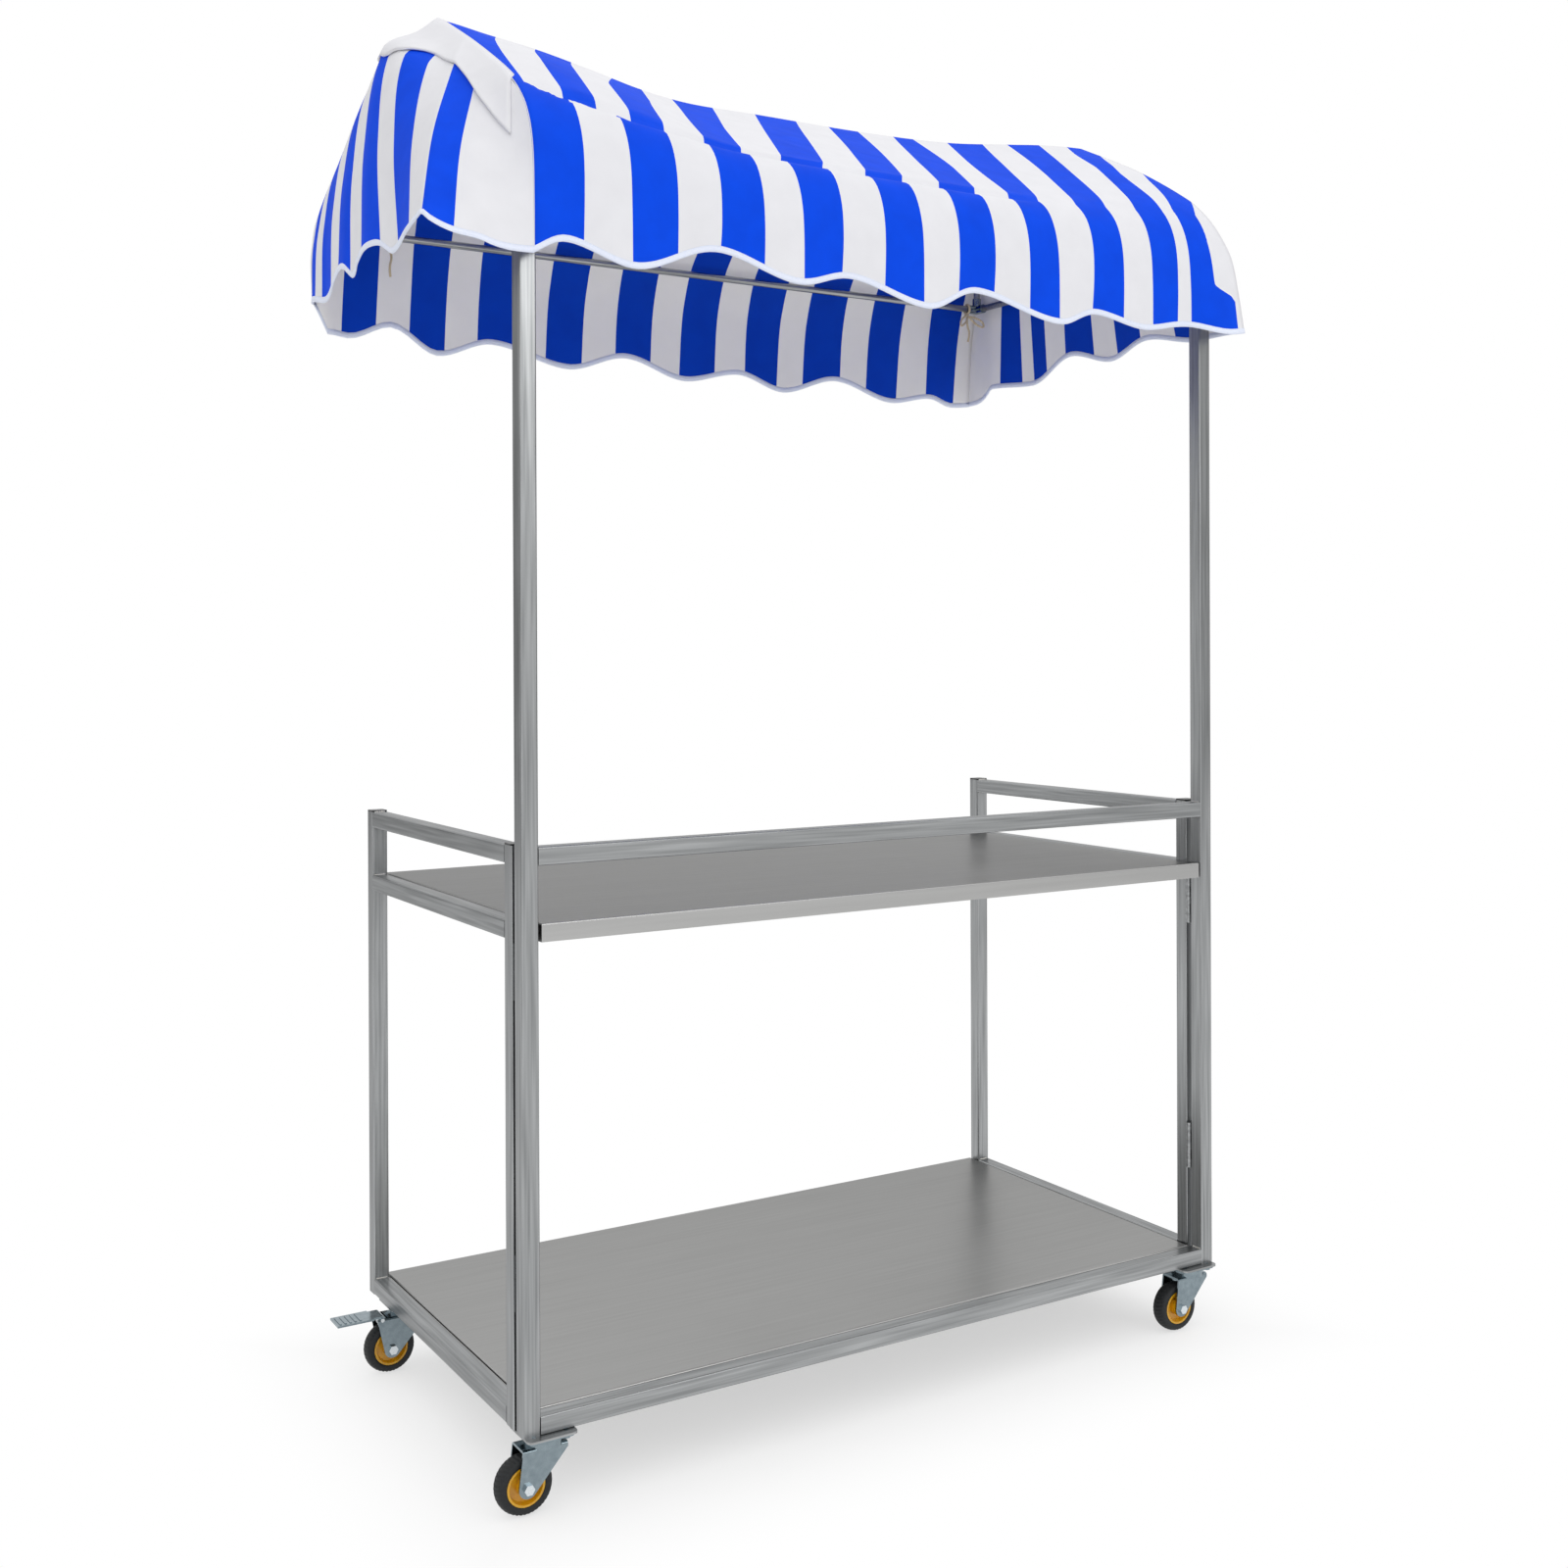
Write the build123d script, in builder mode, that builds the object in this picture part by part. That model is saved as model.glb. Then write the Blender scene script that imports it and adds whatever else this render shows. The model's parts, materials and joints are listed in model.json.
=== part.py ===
from math import cos, pi, radians, sin, tan
import os

from build123d import *

os.makedirs("parts", exist_ok=True)

# A folding food cart: two hinged tube frames, two stainless shelves, four casters and a cloth canopy.
# Millimetres. X runs right as a customer sees it, Y runs back to the seller, Z is up from the floor.

# Welded frame of square stainless tube
cart_length = 1250
cart_depth = 650
tube = 25
tube_wall = 1.5
tube_corner = 2.5
shelf_top = 789
guard_height = 102
front_post_rise = 5

# Butt hinges that let the end frames fold behind the front frame
hinge_slot = 10
hinge_length = 76
upper_hinge_drop = 105
lower_hinge_rise = 133
knuckle_count = 5
knuckle_gap = 0.4
knuckle_radius = 4.6
hinge_pin_radius = 2.2
hinge_bore_radius = 2.25
leaf_thickness = 2
leaf_reach = 22
leaf_clearance = 0.6

# Black plastic plugs in the end posts
plug_height = 2.5
plug_insert = 12
plug_insert_width = 21.8

# Folded sheet shelf and deck, and the angle ledges that carry them
sheet = 1.5
bend_radius = 2.5
apron = 25
deck_apron = 20
return_flange = 12
shelf_end_gap = 4
deck_end_gap = 3.5
deck_front_gap = 3
deck_back_gap = 2
ledge_thickness = 2
ledge_reach = 20
ledge_rise = 18
ledge_end_gap = 3
seat_gap = 0.2
rib_width = 40
rib_depth = 15
rib_end_gap = 26
shelf_rib_rows = (-170, 20, 210)
deck_rib_rows = (-170, 20, 210)

# Casters
caster_inset_x = 38
caster_front_inset = 22
caster_back_inset = 73
pad_side = 72
pad_thickness = 3
plate_side = 66
plate_thickness = 3
plate_corner = 8
plate_bolt_pitch = 46
plate_bolt_radius = 3
plate_hole_radius = 3.2
bolt_head_across = 10
bolt_head_height = 4
race_radius = 20
race_depth = 3
cup_radius = 26
race_gap = 0.6
cup_height = 7.4
fork_sheet = 3
wheel_clearance = 8
fork_outer_half = 19.5
fork_inner_half = 17
fork_bend = 4
trail = 30
cheek_radius = 13
cheek_front = 27
cheek_back = -37
cheek_drop = 4
kingpin_radius = 5
kingpin_bore_radius = 5.06
kingpin_head_radius = 9
kingpin_head_height = 3.6
kingpin_head_gap = 0.4
wheel_radius = 40
tyre_depth = 13
hub_half_width = 12
boss_radius = 12
boss_half_width = 15.5
web_half_width = 4
rim_depth = 5
tyre_half_width = 13
tyre_shoulder_drop = 3
tyre_tread_half = 8
axle_radius = 4
axle_bore_radius = 4.06
axle_nut_across = 13
axle_head_height = 5.3
axle_nut_height = 6.5
axle_tail = 1.5

# Brake on the two back casters
pedal_pivot_x = -46
pedal_pivot_drop = 2
ear_radius = 8
pedal_pin_radius = 3
pedal_bore_radius = 3.06
pedal_barrel_radius = 6
pedal_half_width = 16.4
pedal_foot_half_width = 21
pedal_thickness = 3
pedal_tip_x = -118
pedal_foot_start = -60
pedal_rise = 4
pedal_rib_height = 1
pedal_rib_width = 3
pedal_rib_columns = (-80, -88, -96, -104, -112)
shoe_angle = 264
shoe_reach = 7.4
shoe_radius = 3

# Uprights, canopy rods and the hoops that shape the cloth
spigot_width = 21.6
spigot_wall = 1.5
spigot_length = 240
rod_radius = 6
rod_height = 1830
socket_radius = 6.05
socket_depth = 25
cap_thickness = 4
hoop_leg = 63
hoop_rise = 177
hoop_bend = 45
elbow_radius = 8.5
elbow_reach = 22
rod_seat = 8

# Canopy cloth, kept as a thin closed shell
cloth = 3
cloth_clearance = 0.5
roof_drop = 30
skirt_drop = 194
cloth_bend = 50
left_lean = 27
top_corner = 10
hem_corner = 40
corner_pull = 0.75
hem_bulge = 9
roof_overrun = 45
# Share of the half length from the middle, and how far the cloth has sunk there below the hoops
roof_sag = [(-1, 0), (-0.7333, -16), (-0.4367, -56), (-0.1317, -53), (0.2233, -48), (0.52, -38),
            (0.7567, -20), (1, 0)]
# How far each corner of the skirt's lower edge stands out past the cart's corner, before its hem is cut
hem_front_left = (216, 59)
hem_front_right = (32, 61)
hem_back_right = (16, 64)
hem_back_left = (71, 66)
# High points of each hem, as shares of its side
front_folds = (0.13, 0.3, 0.47, 0.63, 0.79, 0.92)
right_folds = (0.3, 0.57, 0.88)
back_folds = (0.1, 0.26, 0.42, 0.61, 0.8, 0.93)
left_folds = (0.08, 0.32, 0.61)
# The scalloped hem line on each side: high point, low point, high point and so on,
# each as a share of the cart's half length or depth and a drop below the canopy rods
front_hem = [(-1.376, 125), (-1.28, 126), (-1.23, 125), (-1.024, 169), (-0.91, 140), (-0.755, 167),
             (-0.544, 127), (-0.336, 160), (-0.195, 140), (0.022, 172), (0.176, 137), (0.429, 171),
             (0.56, 146), (0.71, 163), (0.866, 149), (0.976, 158), (1.104, 148)]
left_hem = [(-1.323, 127), (-1.231, 126), (-1.114, 125), (-0.6, 144), (-0.246, 124), (0.108, 142),
            (0.431, 126), (0.738, 147), (1.015, 140), (1.185, 158), (1.323, 154)]
back_hem = [(-1.168, 152), (-1.014, 158), (-0.907, 135), (-0.77, 174), (-0.626, 148), (-0.382, 177),
            (-0.216, 150), (-0.011, 180), (0.157, 161), (0.325, 185), (0.502, 156), (0.728, 187),
            (0.862, 174), (0.96, 186), (1.104, 178)]
right_hem = [(-1.323, 150), (-1.231, 149), (-1.145, 144), (-0.785, 142), (-0.446, 124), (-0.108, 146),
             (0.185, 124), (0.585, 162), (0.923, 156), (1.077, 178), (1.323, 172)]
hem_cut_depth = 200
hem_cut_inset = 55

# Cotton ties on the back rod
tie_radius = 2
tie_inset = 24.5
tie_ring = 8.6
knot_radius = 4.5
knot_drop = 13
tie_tail_steps = [(0, 0, 0), (-3, -4, -16), (3, -6, -32), (0, -3, -48)]

# Levels and lines that follow from the sizes above
half_length = cart_length / 2
half_depth = cart_depth / 2
post_x = half_length - tube / 2
inner_x = half_length - tube
front_y = -half_depth + tube / 2
back_y = half_depth - tube / 2
end_front_y = -half_depth + tube + hinge_slot + tube / 2
slot_y = -half_depth + tube + hinge_slot / 2
end_rail_front = end_front_y + tube / 2
end_rail_back = back_y - tube / 2
caster_x = half_length - caster_inset_x
crown_underside = 2 * wheel_radius + wheel_clearance
crown_top = crown_underside + fork_sheet
cup_top = crown_top + cup_height
plate_low = cup_top + race_gap + race_depth
plate_top = plate_low + plate_thickness
frame_underside = plate_top + pad_thickness
cheek_shoulder = crown_underside - cheek_drop
kingpin_head_top = crown_underside - kingpin_head_gap
kingpin_head_low = kingpin_head_top - kingpin_head_height
pedal_pivot_z = crown_top - pedal_pivot_drop
pedal_top = crown_top + pedal_rise
hub_radius = wheel_radius - tyre_depth
web_outer_radius = hub_radius - rim_depth
tyre_shoulder_radius = wheel_radius - tyre_shoulder_drop
caster_front_y = caster_front_inset - half_depth
caster_back_y = half_depth - caster_back_inset
deck_top = frame_underside + tube
guard_rail_top = shelf_top + guard_height
end_post_top = guard_rail_top
front_post_top = guard_rail_top + front_post_rise
upper_hinge_low = shelf_top - upper_hinge_drop
lower_hinge_low = deck_top + lower_hinge_rise
shelf_half_length = inner_x - shelf_end_gap
deck_half_length = inner_x - deck_end_gap
rib_half_length = shelf_half_length - rib_end_gap
shelf_back = half_depth
deck_front = deck_front_gap + tube - half_depth
deck_back = half_depth - deck_back_gap
upright_top = rod_height + rod_radius
hoop_shoulder = rod_height + hoop_leg
hoop_peak = hoop_shoulder + hoop_rise
roof_low = rod_height - roof_drop
skirt_top = roof_low + cloth
skirt_low = rod_height - skirt_drop
tie_x = post_x - tie_inset
hem_cut_start = half_depth - hem_cut_inset


def keep(piece, name):
    piece.label = name
    export_step(piece, f"parts/{name}.step")


def post_tube(x, y, low, high, width=tube, wall=tube_wall):
    with BuildPart() as piece:
        with BuildSketch(Plane.XY.offset(low)):
            with Locations((x, y)):
                RectangleRounded(width, width, tube_corner)
                Rectangle(width - 2 * wall, width - 2 * wall, mode=Mode.SUBTRACT)
        extrude(amount=high - low)
    return piece.part


def rail_across(y, top, left, right):
    with BuildPart() as piece:
        with BuildSketch(Plane.YZ.offset(left)):
            with Locations((y, top - tube / 2)):
                RectangleRounded(tube, tube, tube_corner)
                Rectangle(tube - 2 * tube_wall, tube - 2 * tube_wall, mode=Mode.SUBTRACT)
        extrude(amount=right - left)
    return piece.part


def rail_back(x, top, front, back):
    with BuildPart() as piece:
        with BuildSketch(Plane.XZ.offset(-back)):
            with Locations((x, top - tube / 2)):
                RectangleRounded(tube, tube, tube_corner)
                Rectangle(tube - 2 * tube_wall, tube - 2 * tube_wall, mode=Mode.SUBTRACT)
        extrude(amount=back - front)
    return piece.part


# Front frame: two posts with a guard rail and a bottom rail welded between them
keep(post_tube(-post_x, front_y, frame_underside, front_post_top), "front_left_post")
keep(post_tube(post_x, front_y, frame_underside, front_post_top), "front_right_post")
keep(rail_across(front_y, guard_rail_top, -inner_x, inner_x), "front_guard_rail")
keep(rail_across(front_y, deck_top, -inner_x, inner_x), "front_bottom_rail")

# End frames: a post at each end of three rails
for side, x in (("left", -post_x), ("right", post_x)):
    keep(post_tube(x, end_front_y, frame_underside, end_post_top), f"{side}_end_front_post")
    keep(post_tube(x, back_y, frame_underside, end_post_top), f"{side}_end_back_post")
    keep(rail_back(x, guard_rail_top, end_rail_front, end_rail_back), f"{side}_end_guard_rail")
    keep(rail_back(x, shelf_top, end_rail_front, end_rail_back), f"{side}_end_shelf_rail")
    keep(rail_back(x, deck_top, end_rail_front, end_rail_back), f"{side}_end_bottom_rail")

# Plugs close the tops of the end frames' posts
with BuildPart() as post_plugs:
    for x in (-post_x, post_x):
        for y in (end_front_y, back_y):
            with BuildSketch(Plane.XY.offset(end_post_top)):
                with Locations((x, y)):
                    RectangleRounded(tube, tube, tube_corner)
            extrude(amount=plug_height)
            with BuildSketch(Plane.XY.offset(end_post_top)):
                with Locations((x, y)):
                    Rectangle(plug_insert_width, plug_insert_width)
            extrude(amount=-plug_insert)
keep(post_plugs.part, "post_plugs")

# Hinges stand in the slot behind each front post, with the barrel at the inner face
knuckle_pitch = (hinge_length + knuckle_gap) / knuckle_count
knuckle_length = knuckle_pitch - knuckle_gap
plate_start = knuckle_radius + leaf_clearance
leaf_offset = hinge_slot / 2 - leaf_thickness / 2


def hinge_leaves(leaf_y, first_knuckle):
    with BuildPart() as leaves:
        for side in (-1, 1):
            for low in (upper_hinge_low, lower_hinge_low):
                for index in range(first_knuckle, knuckle_count, 2):
                    with BuildSketch(Plane.XY.offset(low + index * knuckle_pitch)):
                        with Locations((side * inner_x, slot_y)):
                            Circle(knuckle_radius)
                            Circle(hinge_bore_radius, mode=Mode.SUBTRACT)
                        with Locations((side * (inner_x + plate_start / 2), leaf_y)):
                            Rectangle(plate_start, leaf_thickness)
                    extrude(amount=knuckle_length)
                with BuildSketch(Plane.XY.offset(low)):
                    with Locations((side * (inner_x + (plate_start + leaf_reach) / 2), leaf_y)):
                        Rectangle(leaf_reach - plate_start, leaf_thickness)
                extrude(amount=hinge_length)
    return leaves.part


keep(hinge_leaves(slot_y - leaf_offset, 0), "hinge_front_leaves")
keep(hinge_leaves(slot_y + leaf_offset, 1), "hinge_end_leaves")

with BuildPart() as hinge_pins:
    for low in (upper_hinge_low, lower_hinge_low):
        with BuildSketch(Plane.XY.offset(low)):
            with Locations((-inner_x, slot_y), (inner_x, slot_y)):
                Circle(hinge_pin_radius)
        extrude(amount=hinge_length)
keep(hinge_pins.part, "hinge_pins")


# Folded trays: a sheet top, aprons turned down on four sides and a flange turned in
def folded_tray(half_span, front, back, top, depth):
    middle = (front + back) / 2
    span = back - front
    with BuildPart() as tray:
        with BuildSketch(Plane.XY.offset(top - depth)):
            with Locations((0, middle)):
                Rectangle(2 * half_span, span)
        extrude(amount=depth)
        fillet(tray.edges().group_by(Axis.Z)[-1], bend_radius)
        with BuildSketch(Plane.XY.offset(top - depth + sheet)):
            with Locations((0, middle)):
                Rectangle(2 * (half_span - sheet), span - 2 * sheet)
        extrude(amount=depth - 2 * sheet, mode=Mode.SUBTRACT)
        with BuildSketch(Plane.XY.offset(top - depth)):
            with Locations((0, middle)):
                Rectangle(2 * (half_span - return_flange), span - 2 * return_flange)
        extrude(amount=sheet, mode=Mode.SUBTRACT)
    return tray.part


# Open channels welded under a sheet stop it drumming and sagging
def channel_ribs(rows, top):
    with BuildPart() as ribs:
        with BuildSketch(Plane.YZ.offset(-rib_half_length)):
            for row in rows:
                with Locations((row, top - sheet - rib_depth / 2)):
                    Rectangle(rib_width, rib_depth)
                with Locations((row, top - sheet - rib_depth / 2 + sheet)):
                    Rectangle(rib_width - 2 * sheet, rib_depth, mode=Mode.SUBTRACT)
        extrude(amount=2 * rib_half_length)
    return ribs.part


keep(folded_tray(shelf_half_length, -half_depth, shelf_back, shelf_top, apron), "middle_shelf")
keep(channel_ribs(shelf_rib_rows, shelf_top), "middle_shelf_ribs")
keep(folded_tray(deck_half_length, deck_front, deck_back, deck_top, deck_apron), "bottom_deck")
keep(channel_ribs(deck_rib_rows, deck_top), "bottom_deck_ribs")


# Angle ledges on the inner faces of the rails
def angle_ledges(tray_low, front_span):
    foot = tray_low - seat_gap
    with BuildPart() as ledges:
        for side in (-1, 1):
            with BuildSketch(Plane.XZ.offset(-end_rail_back + ledge_end_gap)):
                with Locations((side * (inner_x - ledge_thickness / 2), foot + ledge_rise / 2)):
                    Rectangle(ledge_thickness, ledge_rise)
                with Locations((side * (inner_x - ledge_reach / 2), foot - ledge_thickness / 2)):
                    Rectangle(ledge_reach, ledge_thickness)
            extrude(amount=end_rail_back - end_rail_front - 2 * ledge_end_gap)
        if front_span:
            with BuildSketch(Plane.YZ.offset(-front_span)):
                with Locations((-half_depth + tube + ledge_thickness / 2, foot + ledge_rise / 2)):
                    Rectangle(ledge_thickness, ledge_rise)
                with Locations((-half_depth + tube + ledge_reach / 2, foot - ledge_thickness / 2)):
                    Rectangle(ledge_reach, ledge_thickness)
            extrude(amount=2 * front_span)
    return ledges.part


keep(angle_ledges(shelf_top - apron, 0), "shelf_ledges")
keep(angle_ledges(deck_top - deck_apron, inner_x - ledge_reach - tube), "deck_ledges")

# Casters: pads welded under the frame, then plate, bolts and kingpin, fork, axle, hub and tyre
casters = {
    "front_left": (-caster_x, caster_front_y, False),
    "front_right": (caster_x, caster_front_y, False),
    "back_left": (-caster_x, caster_back_y, True),
    "back_right": (caster_x, caster_back_y, True),
}
centres = [(x, y) for x, y, braked in casters.values()]

with BuildPart() as caster_pads:
    with BuildSketch(Plane.XY.offset(plate_top)):
        with Locations(*centres):
            RectangleRounded(pad_side, pad_side, plate_corner)
            with GridLocations(plate_bolt_pitch, plate_bolt_pitch, 2, 2):
                Circle(plate_hole_radius, mode=Mode.SUBTRACT)
    extrude(amount=pad_thickness)
keep(caster_pads.part, "caster_pads")

with BuildPart() as caster_plates:
    with BuildSketch(Plane.XY.offset(plate_low)):
        with Locations(*centres):
            RectangleRounded(plate_side, plate_side, plate_corner)
    extrude(amount=plate_thickness)
    with BuildSketch(Plane.XY.offset(plate_low)):
        with Locations(*centres):
            Circle(race_radius)
    extrude(amount=-race_depth)
    with BuildSketch(Plane.XY.offset(plate_low - race_depth)):
        with Locations(*centres):
            Circle(kingpin_bore_radius)
            with GridLocations(plate_bolt_pitch, plate_bolt_pitch, 2, 2):
                Circle(plate_hole_radius)
    extrude(amount=plate_thickness + race_depth, mode=Mode.SUBTRACT)
keep(caster_plates.part, "caster_plates")

with BuildPart() as caster_plate_bolts:
    with BuildSketch(Plane.XY.offset(plate_low)):
        with Locations(*centres):
            with GridLocations(plate_bolt_pitch, plate_bolt_pitch, 2, 2):
                RegularPolygon(bolt_head_across / 2, 6, major_radius=False)
    extrude(amount=-bolt_head_height)
    with BuildSketch(Plane.XY.offset(plate_low)):
        with Locations(*centres):
            with GridLocations(plate_bolt_pitch, plate_bolt_pitch, 2, 2):
                Circle(plate_bolt_radius)
    extrude(amount=plate_thickness + pad_thickness)
keep(caster_plate_bolts.part, "caster_plate_bolts")

with BuildPart() as caster_kingpins:
    with BuildSketch(Plane.XY.offset(kingpin_head_low)):
        with Locations(*centres):
            Circle(kingpin_head_radius)
    extrude(amount=kingpin_head_top - kingpin_head_low)
    with BuildSketch(Plane.XY.offset(kingpin_head_top)):
        with Locations(*centres):
            Circle(kingpin_radius)
    extrude(amount=plate_top - kingpin_head_top)
keep(caster_kingpins.part, "caster_kingpins")


# A pressed fork: a folded channel trimmed to raked cheeks, with the bearing cup on its crown
def caster_fork(x, y, braked):
    channel_height = crown_top - axle_radius
    with BuildPart() as fork:
        with BuildSketch(Plane.YZ.offset(x + pedal_tip_x)):
            with Locations((y, crown_top - channel_height / 2)):
                RectangleRounded(2 * fork_outer_half, channel_height, fork_bend)
            with Locations((y, crown_underside - channel_height / 2)):
                Rectangle(2 * fork_inner_half, channel_height, mode=Mode.SUBTRACT)
        extrude(amount=cheek_front - pedal_tip_x)
        with BuildSketch(Plane.XZ.offset(-y - fork_outer_half)):
            with Locations((x - trail, wheel_radius)):
                Circle(cheek_radius)
            with Locations((x + (cheek_front + cheek_back) / 2, (cheek_shoulder + crown_top) / 2)):
                Rectangle(cheek_front - cheek_back, crown_top - cheek_shoulder)
            if braked:
                with Locations((x + pedal_pivot_x, pedal_pivot_z)):
                    Circle(ear_radius)
            make_hull()
        extrude(amount=2 * fork_outer_half, mode=Mode.INTERSECT)
        if braked:
            window = cheek_back - pedal_tip_x
            with BuildSketch(Plane.XY.offset(crown_underside)):
                with Locations((x + cheek_back - window / 2, y)):
                    Rectangle(window, 2 * fork_inner_half)
            extrude(amount=ear_radius, mode=Mode.SUBTRACT)
        with BuildSketch(Plane.XY.offset(crown_underside)):
            with Locations((x, y)):
                Circle(cup_radius)
        extrude(amount=cup_top - crown_underside)
        with BuildSketch(Plane.XY.offset(crown_underside)):
            with Locations((x, y)):
                Circle(kingpin_bore_radius)
        extrude(amount=cup_top - crown_underside, mode=Mode.SUBTRACT)
        with BuildSketch(Plane.XZ.offset(-y - fork_outer_half)):
            with Locations((x - trail, wheel_radius)):
                Circle(axle_bore_radius)
            if braked:
                with Locations((x + pedal_pivot_x, pedal_pivot_z)):
                    Circle(pedal_bore_radius)
        extrude(amount=2 * fork_outer_half, mode=Mode.SUBTRACT)
    return fork.part


# Axle bolt and nut; on a braked caster the pedal's pin is held in the same fork
def caster_pins(x, y, braked):
    with BuildPart() as pins:
        with BuildSketch(Plane.XZ.offset(-y + fork_outer_half)):
            with Locations((x - trail, wheel_radius)):
                RegularPolygon(axle_nut_across / 2, 6, major_radius=False)
        extrude(amount=axle_head_height)
        with BuildSketch(Plane.XZ.offset(-y + fork_outer_half)):
            with Locations((x - trail, wheel_radius)):
                Circle(axle_radius)
        extrude(amount=-2 * fork_outer_half - axle_nut_height - axle_tail)
        with BuildSketch(Plane.XZ.offset(-y - fork_outer_half)):
            with Locations((x - trail, wheel_radius)):
                RegularPolygon(axle_nut_across / 2, 6, major_radius=False)
        extrude(amount=-axle_nut_height)
        if braked:
            with BuildSketch(Plane.XZ.offset(-y - fork_outer_half)):
                with Locations((x + pedal_pivot_x, pedal_pivot_z)):
                    Circle(pedal_pin_radius)
            extrude(amount=2 * fork_outer_half)
    return pins.part


def wheel_piece(x, y, outline):
    with BuildPart() as piece:
        with BuildSketch(Plane.XY.offset(wheel_radius)):
            with BuildLine():
                Polyline([(x - trail + radius, y + across) for radius, across in outline], close=True)
            make_face()
        revolve(axis=Axis((x - trail, y, wheel_radius), (0, 1, 0)))
    return piece.part


half_hub = [(axle_bore_radius, boss_half_width), (boss_radius, boss_half_width),
            (boss_radius + 1, web_half_width), (web_outer_radius, web_half_width),
            (web_outer_radius + 2, hub_half_width), (hub_radius, hub_half_width)]
hub_outline = half_hub + [(radius, -across) for radius, across in reversed(half_hub)]
half_tyre = [(hub_radius, hub_half_width), (hub_radius + 3, tyre_half_width),
             (tyre_shoulder_radius, tyre_half_width - 1), (wheel_radius, tyre_tread_half)]
tyre_outline = half_tyre + [(radius, -across) for radius, across in reversed(half_tyre)]


# A stamped pedal on a barrel, with a shoe under it that turns towards the tyre
def brake_pedal(x, y):
    pivot = (x + pedal_pivot_x, pedal_pivot_z)
    shoe_turn = radians(shoe_angle)
    shoe = (pivot[0] + shoe_reach * cos(shoe_turn), pivot[1] + shoe_reach * sin(shoe_turn))
    with BuildPart() as pedal:
        with BuildSketch(Plane.XZ.offset(-y - pedal_half_width)):
            with Locations(pivot):
                Circle(pedal_barrel_radius)
            with Locations(shoe):
                Circle(shoe_radius)
            make_hull()
        extrude(amount=2 * pedal_half_width)
        with BuildSketch(Plane.XY.offset(pedal_top - pedal_thickness)):
            with Locations((x + (pedal_pivot_x + pedal_foot_start) / 2, y)):
                Rectangle(pedal_pivot_x - pedal_foot_start, 2 * pedal_half_width)
            with Locations((x + (pedal_foot_start + pedal_tip_x) / 2, y)):
                Rectangle(pedal_foot_start - pedal_tip_x, 2 * pedal_foot_half_width)
        extrude(amount=pedal_thickness)
        with BuildSketch(Plane.XY.offset(pedal_top)):
            for column in pedal_rib_columns:
                with Locations((x + column, y)):
                    Rectangle(pedal_rib_width, 2 * pedal_half_width)
        extrude(amount=pedal_rib_height)
        with BuildSketch(Plane.XZ.offset(-y - pedal_half_width)):
            with Locations(pivot):
                Circle(pedal_bore_radius)
        extrude(amount=2 * pedal_half_width, mode=Mode.SUBTRACT)
    return pedal.part


for name, (x, y, braked) in casters.items():
    keep(caster_fork(x, y, braked), f"{name}_fork")
    keep(caster_pins(x, y, braked), f"{name}_axle")
    keep(wheel_piece(x, y, hub_outline), f"{name}_hub")
    keep(wheel_piece(x, y, tyre_outline), f"{name}_tyre")
    if braked:
        keep(brake_pedal(x, y), f"{name}_brake_pedal")

# Uprights stand on the front posts and plug into them with inner spigots
for side, x in (("left", -post_x), ("right", post_x)):
    keep(post_tube(x, front_y, front_post_top, upright_top), f"{side}_upright")

with BuildPart() as upright_spigots:
    with BuildSketch(Plane.XY.offset(front_post_top - spigot_length / 2)):
        with Locations((-post_x, front_y), (post_x, front_y)):
            Rectangle(spigot_width, spigot_width)
            Rectangle(spigot_width - 2 * spigot_wall, spigot_width - 2 * spigot_wall, mode=Mode.SUBTRACT)
    extrude(amount=spigot_length)
keep(upright_spigots.part, "upright_spigots")

with BuildPart() as upright_caps:
    with BuildSketch(Plane.XY.offset(upright_top)):
        with Locations((-post_x, front_y), (post_x, front_y)):
            RectangleRounded(tube, tube, tube_corner)
    extrude(amount=cap_thickness)
    with BuildSketch(Plane.XY.offset(upright_top)):
        with Locations((-post_x, front_y), (post_x, front_y)):
            Rectangle(plug_insert_width, plug_insert_width)
    extrude(amount=-socket_depth)
    with BuildSketch(Plane.XY.offset(upright_top - socket_depth)):
        with Locations((-post_x, front_y), (post_x, front_y)):
            Circle(socket_radius)
    extrude(amount=socket_depth + cap_thickness, mode=Mode.SUBTRACT)
keep(upright_caps.part, "upright_caps")

# Canopy rods: a level rectangle with three-way elbows at its back corners
with BuildPart() as canopy_front_rod:
    with BuildSketch(Plane.YZ.offset(-inner_x)):
        with Locations((front_y, rod_height)):
            Circle(rod_radius)
    extrude(amount=2 * inner_x)
keep(canopy_front_rod.part, "canopy_front_rod")

with BuildPart() as canopy_back_rod:
    with BuildSketch(Plane.YZ.offset(-post_x + rod_seat)):
        with Locations((back_y, rod_height)):
            Circle(rod_radius)
    extrude(amount=2 * (post_x - rod_seat))
keep(canopy_back_rod.part, "canopy_back_rod")

with BuildPart() as canopy_side_rods:
    with BuildSketch(Plane.XZ.offset(half_depth - tube)):
        with Locations((-post_x, rod_height), (post_x, rod_height)):
            Circle(rod_radius)
    extrude(amount=-(back_y - rod_seat + half_depth - tube))
keep(canopy_side_rods.part, "canopy_side_rods")

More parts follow.
